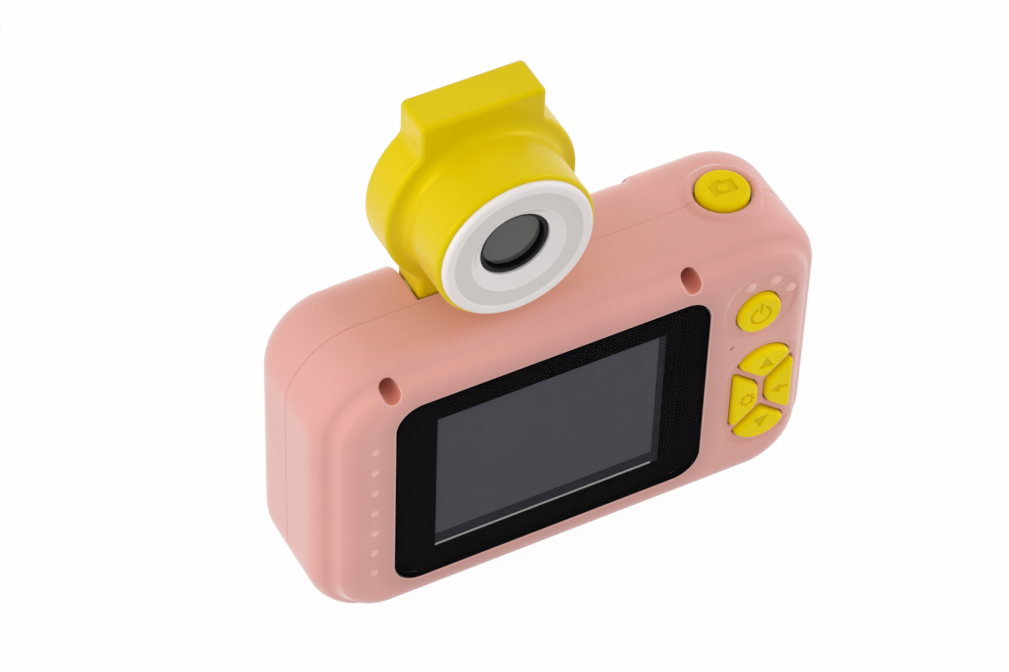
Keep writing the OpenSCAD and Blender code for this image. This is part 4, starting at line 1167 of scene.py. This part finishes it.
def make_head_cover(material):
    field = Field(*COVER_GRID, CASE_STEPS)
    field.add(lambda x, y, z: corner(np.maximum(
        head_outline(x - HEAD_X, z - HINGE_Z) + HEAD_WALL + SEAT_GAP, HINGE_Z + FOOT_SOLID + SEAT_GAP - z),
        between(y, PLATE_Y[1] - COVER_T, PLATE_Y[1]), COVER_EDGE_R))
    for u in (-COVER_POST_U, COVER_POST_U):
        field.add(rod((HEAD_X + u, LENS_Z), COVER_POST_R, *COVER_POST_Y))
    for at in HEAD_SCREWS:
        field.cut(rod(at, HEAD_SCREW_R, 0, OUT), **around(at, 3, 3.4, 11.2))
        head = rod(at, SCREW_HEAD_R, PLATE_Y[1] - SCREW_HEAD_T, OUT)
        field.cut(head, soft=SCREW_HEAD_SOFT, **around(at, 3, 8, 11.2))
    field_piece("head_cover_skin", field, material, "head", "head_cover")


# Signs on the keys, as flat outlines in U and V


def triangle(u, v, at, size, turn):
    """Flat triangle with equal sides; turn 0 points along +V."""
    shape = None
    for i in range(3):
        angle = math.radians(turn + 60 + 120 * i + 90)
        side = (u - at[0]) * math.cos(angle) + (v - at[1]) * math.sin(angle) - size / 2
        shape = side if shape is None else np.maximum(shape, side)
    return shape


def gear(u, v, at):
    """Ring with eight teeth."""
    away = np.hypot(u - at[0], v - at[1])
    turn = np.arctan2(v - at[1], u - at[0])
    teeth = TOOTH_DEPTH * np.tanh(TOOTH_SLOPE * np.cos(GEAR_TEETH * turn))
    return np.maximum(away - GEAR_R[1] - teeth, GEAR_R[0] - away)


def back_arrow(u, v, at):
    """Arrow that points along -U."""
    bar = rect(u, v, (at[0] + ARROW_BAR_U, at[1]), ARROW_BAR, STROKE_R)
    return np.minimum(triangle(u, v, (at[0] - ARROW_TIP_U, at[1]), ARROW_TIP, 90), bar)


def power_sign(u, v, at):
    """Ring with a gap at the top and an upright stroke in it."""
    away = np.hypot(u - at[0], v - at[1])
    ring = np.abs(away - POWER_RING_R) - STROKE
    gap = POWER_RING_GAP - np.abs(u - at[0]) - np.minimum(v - at[1], 0) * POWER_GAP_SLOPE
    stroke = rect(u, v, (at[0], at[1] + STROKE_V), (STROKE, STROKE_HALF), STROKE_R)
    return np.minimum(np.maximum(ring, gap), stroke)


def camera_sign(u, v, at):
    """Small camera with a round lens left standing."""
    body = rect(u, v, at, CAMERA_BODY, CAMERA_BODY_R)
    hump_at = (at[0] - CAMERA_HUMP_AT[0], at[1] + CAMERA_HUMP_AT[1])
    hump = rect(u, v, hump_at, CAMERA_HUMP, CAMERA_HUMP_R)
    return np.maximum(np.minimum(body, hump), CAMERA_LENS_R - np.hypot(u - at[0], v - at[1]))


# Keys


def make_rear_key(body, node, material, at, reach, cap, edge_r, flange, sign):
    """Cap with a sunk sign, flange that holds it behind the rear face, and stem to the switch."""
    field = Field((at[0] - reach[0], KEY_GRID_Y[0], at[1] - reach[1]),
                  (at[0] + reach[0], KEY_GRID_Y[1], at[1] + reach[1]), KEY_STEPS)
    field.add(lambda x, y, z: np.maximum(corner(cap(x, z), KEY_TOP - y, edge_r), y - KEY_CAP_END))
    field.add(slab(flange, *KEY_FLANGE_Y))
    field.add(rod(at, STEM_R, KEY_FLANGE_Y[0], STEM_END_Y))
    field.cut(lambda x, y, z: np.maximum(sign(x, z), y - KEY_TOP - SIGN_DEPTH), soft=SIGN_SOFT)
    field_piece(node + "_cap", field, material, body, node)


def make_nav_key(turn, material):
    side_u = (NAV_MID + NAV_R) / 2
    end_v = (NAV_APEX + NAV_HALF + NAV_R) / 2
    at = (KEYS_AT[0] + (0, -side_u, 0, side_u)[turn], KEYS_AT[1] + (end_v, 0, -end_v, 0)[turn])
    sign_at = (at[0] + SIGN_SHIFT[turn][0], at[1] + SIGN_SHIFT[turn][1])

    def sign(x, z):
        if turn == 1:
            return gear(x, z, sign_at)
        if turn == 3:
            return back_arrow(x, z, sign_at)
        return triangle(x, z, sign_at, TRIANGLE_SIZE, 90 * turn)

    body = KEY_BODIES[turn]
    make_rear_key(body, body + "_key", material, at, NAV_REACH[turn % 2], nav_key(turn, 0, NAV_CAP_SOFT),
                  NAV_EDGE_R, nav_key(turn, KEY_FLANGE, NAV_SOFT), sign)


def make_power_button(material):
    def outline(grow):
        return lambda x, z: disc(x, z, POWER_AT, POWER_R + grow)

    make_rear_key("power", "power_button", material, POWER_AT, POWER_REACH, outline(0), POWER_EDGE_R,
                  outline(KEY_FLANGE), lambda x, z: power_sign(x, z, POWER_AT))


def make_shutter_button(material):
    top = BODY_H + SHUTTER_RISE
    middle = (SHUTTER_X, 0)
    field = Field(*SHUTTER_GRID, SHUTTER_STEPS)
    field.add(lambda x, y, z: np.maximum(
        corner(disc(x, y, middle, SHUTTER_R), z - top, SHUTTER_EDGE_R), SHUTTER_FLANGE_Z[0] - z))
    field.add(lambda x, y, z: np.maximum(
        disc(x, y, middle, SHUTTER_R + SHUTTER_FLANGE), between(z, *SHUTTER_FLANGE_Z)))
    field.add(lambda x, y, z: np.maximum(disc(x, y, middle, SHUTTER_STEM_R), between(z, *SHUTTER_STEM_Z)))
    field.cut(lambda x, y, z: np.maximum(camera_sign(x, y, middle), top - SIGN_DEPTH - z), soft=SIGN_SOFT)
    field_piece("shutter_button_cap", field, material, "shutter", "shutter_button")


# Turned lens parts


def turned(name, profile, material, node, sharp=35):
    """Closed ring or disc about the lens axis. The profile is a closed loop of (radius, Y)."""
    count = len(profile)
    points = []
    faces = []
    for i in range(LENS_STEPS):
        angle = 2 * math.pi * i / LENS_STEPS
        a = i * count
        b = (i + 1) % LENS_STEPS * count
        for j, (r, y) in enumerate(profile):
            points.append((HEAD_X + r * math.cos(angle), y, LENS_Z + r * math.sin(angle)))
            k = (j + 1) % count
            faces.append((a + j, a + k, b + k, b + j))
    piece = mesh_object(name, np.array(points), np.array(faces), material)
    weld = piece.modifiers.new("weld", "WELD")
    weld.merge_threshold = WELD_M
    settle(piece, sharp)
    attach(piece, "head")
    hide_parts(node)


def arc(centre, r, start, end, count):
    """Points of an arc in (radius, Y), angles in degrees."""
    out = []
    for i in range(count + 1):
        angle = math.radians(start + (end - start) * i / count)
        out.append((centre[0] + r * math.cos(angle), centre[1] + r * math.sin(angle)))
    return out


def make_lens_ring(material):
    """White ring: a rounded rim, a sunk flat band, a stepped cone and the spigot behind."""
    face = BARREL_Y - RING_T
    sunk = face + RING_LABEL_SINK
    inner, outer = RING_LABEL
    cone_end = face + CONE_T
    spigot_in = SPIGOT_R - SPIGOT_WALL
    profile = [(SPIGOT_R, BARREL_Y), (RING_R, BARREL_Y)]
    profile += arc((RING_R - RING_BEAD, face + RING_BEAD), RING_BEAD, 0, -90, 10)
    profile += arc((outer + LABEL_OUTER_GAP, face + LABEL_OUTER_R), LABEL_OUTER_R, -90, -125, 4)
    profile += [(outer, sunk), (inner, sunk)]
    profile += arc((inner - LABEL_INNER_GAP, sunk + LABEL_INNER_R), LABEL_INNER_R, -90, -140, 4)
    profile += [(LENS_R + out, cone_end - rise) for out, rise in CONE_STEPS]
    profile += [(LENS_R, BARREL_Y + SPIGOT_WALL), (spigot_in, BARREL_Y + SPIGOT_WALL),
                (spigot_in, BARREL_Y + SPIGOT_L), (SPIGOT_R, BARREL_Y + SPIGOT_L)]
    turned("lens_ring_face", profile, material, "lens_ring")


def make_lens_bezel(material):
    edge = BEZEL_EDGE
    front, back = BEZEL_Y
    inner, outer = BEZEL_R
    profile = [(outer, back)]
    profile += arc((outer - edge, front + edge), edge, 0, -90, 5)
    profile += arc((inner + edge, front + edge), edge, -90, -180, 5)
    profile += [(inner, back)]
    turned("lens_bezel_ring", profile, material, "lens_bezel")


def make_lens_glass(material):
    edge = GLASS_EDGE
    front, back = GLASS_Y
    profile = [(0, back), (GLASS_R, back), (GLASS_R, front + edge), (GLASS_R - edge, front + 0.05),
               (GLASS_R / 2, front - 0.04), (0, front - 0.07)]
    turned("lens_window", profile, material, "lens_glass", sharp=20)


place_camera()
make_stage()

pink = moulded("pink_silicone", srgb(229, 166, 158), rough=0.5, gloss=0.3, sheen=1.0)
# Painted light on the pink: pale painted highlights, darker painted shade beside the panel, deep red
# painted shade in the strap tunnels
paint_case_light_and_shade(pink, srgb(240, 190, 182), srgb(196, 142, 136), srgb(214, 122, 104))
LEMON = srgb(225, 199, 0)
# Painted light: the rear keys get a paler yellow than the shutter key, to make up for the dimmer light on
# faces towards -Y
LEMON_KEY_BRIGHTENED = srgb(246, 220, 0)
LEMON_SHINE = srgb(255, 240, 0)
# Painted shade in the floors of the sunk key signs
LEMON_SIGN_SHADE = srgb(224, 198, 0)
yellow = moulded("yellow_plastic", LEMON, rough=0.3, relief=0.004, vary=0.03, shine=LEMON_SHINE)
rear_key = moulded("yellow_rear_key", LEMON_KEY_BRIGHTENED, rough=0.36, gloss=0.1, shine=LEMON_SHINE)
paint_sign_shade(rear_key, 1, KEY_TOP + SIGN_DEPTH, LEMON_SIGN_SHADE)
top_key = moulded("yellow_top_key", srgb(238, 210, 0), rough=0.36, gloss=0.1, shine=LEMON_SHINE)
paint_sign_shade(top_key, 2, BODY_H + SHUTTER_RISE - SIGN_DEPTH, LEMON_SIGN_SHADE)
white = moulded("white_plastic", srgb(238, 234, 234), rough=0.35, gloss=0.4)
tint_label(white, srgb(218, 216, 215))
black = moulded("black_plastic", srgb(20, 20, 24), rough=0.3)
bezel = moulded("bezel_black", srgb(9, 9, 11), rough=0.4, relief=0, gloss=0.2)
steel = moulded("plated_steel", srgb(190, 190, 195), rough=0.3, metallic=1.0)
board = moulded("solder_mask", srgb(30, 95, 60), rough=0.4)
pale = moulded("pale_plastic", srgb(220, 220, 212), rough=0.45)
foam = moulded("foam", srgb(60, 60, 62), rough=0.9, relief=0.1, grain=1500)
film = moulded("flex_film", srgb(205, 130, 40), rough=0.35)
foil = moulded("battery_foil", srgb(186, 190, 200), rough=0.4)
mask = moulded("printed_mask", srgb(16, 14, 16), rough=0.6, relief=0, vary=0, gloss=0)
display = moulded("display_cell", srgb(83, 84, 91), rough=0.6, relief=0, shift=0.02, vary=0, gloss=0)
# Dark painted shade at the display's right and lower sides, pale painted highlight along its lower edge
paint_display_shade_and_highlight(display, srgb(50, 49, 55), srgb(195, 195, 190))
window = pane("window_plate", 0.01, srgb(14, 13, 14))
lens = moulded("lens_smoked", srgb(78, 78, 74), rough=0.14, grain=60, relief=0, shift=0.02, vary=0.02)

slot_materials = {
    "case_pink": pink, "head_yellow": yellow, "ring_white": white, "black_plastic": black,
    "pale_plastic": pale, "screen_clear": window, "mask_black": mask, "display": display,
    "lens_glass": lens, "circuit_board": board, "chip_black": black, "steel": steel,
    "battery_wrap": foil, "foam": foam, "flex_film": film, "cable_black": black,
}
for row in frame["record"]["subparts"]:
    cad = nodes[row["node"]]
    cad.data.materials.clear()
    cad.data.materials.append(slot_materials[row["material_slot"]])

make_rear_case(pink)
make_front_case(pink)
make_head_shell(yellow)
make_head_cover(yellow)
for key_turn in range(4):
    make_nav_key(key_turn, rear_key)
make_power_button(rear_key)
make_shutter_button(top_key)
make_lens_ring(white)
make_lens_bezel(bezel)
make_lens_glass(lens)

bpy.context.scene.view_settings.view_transform = "Standard"
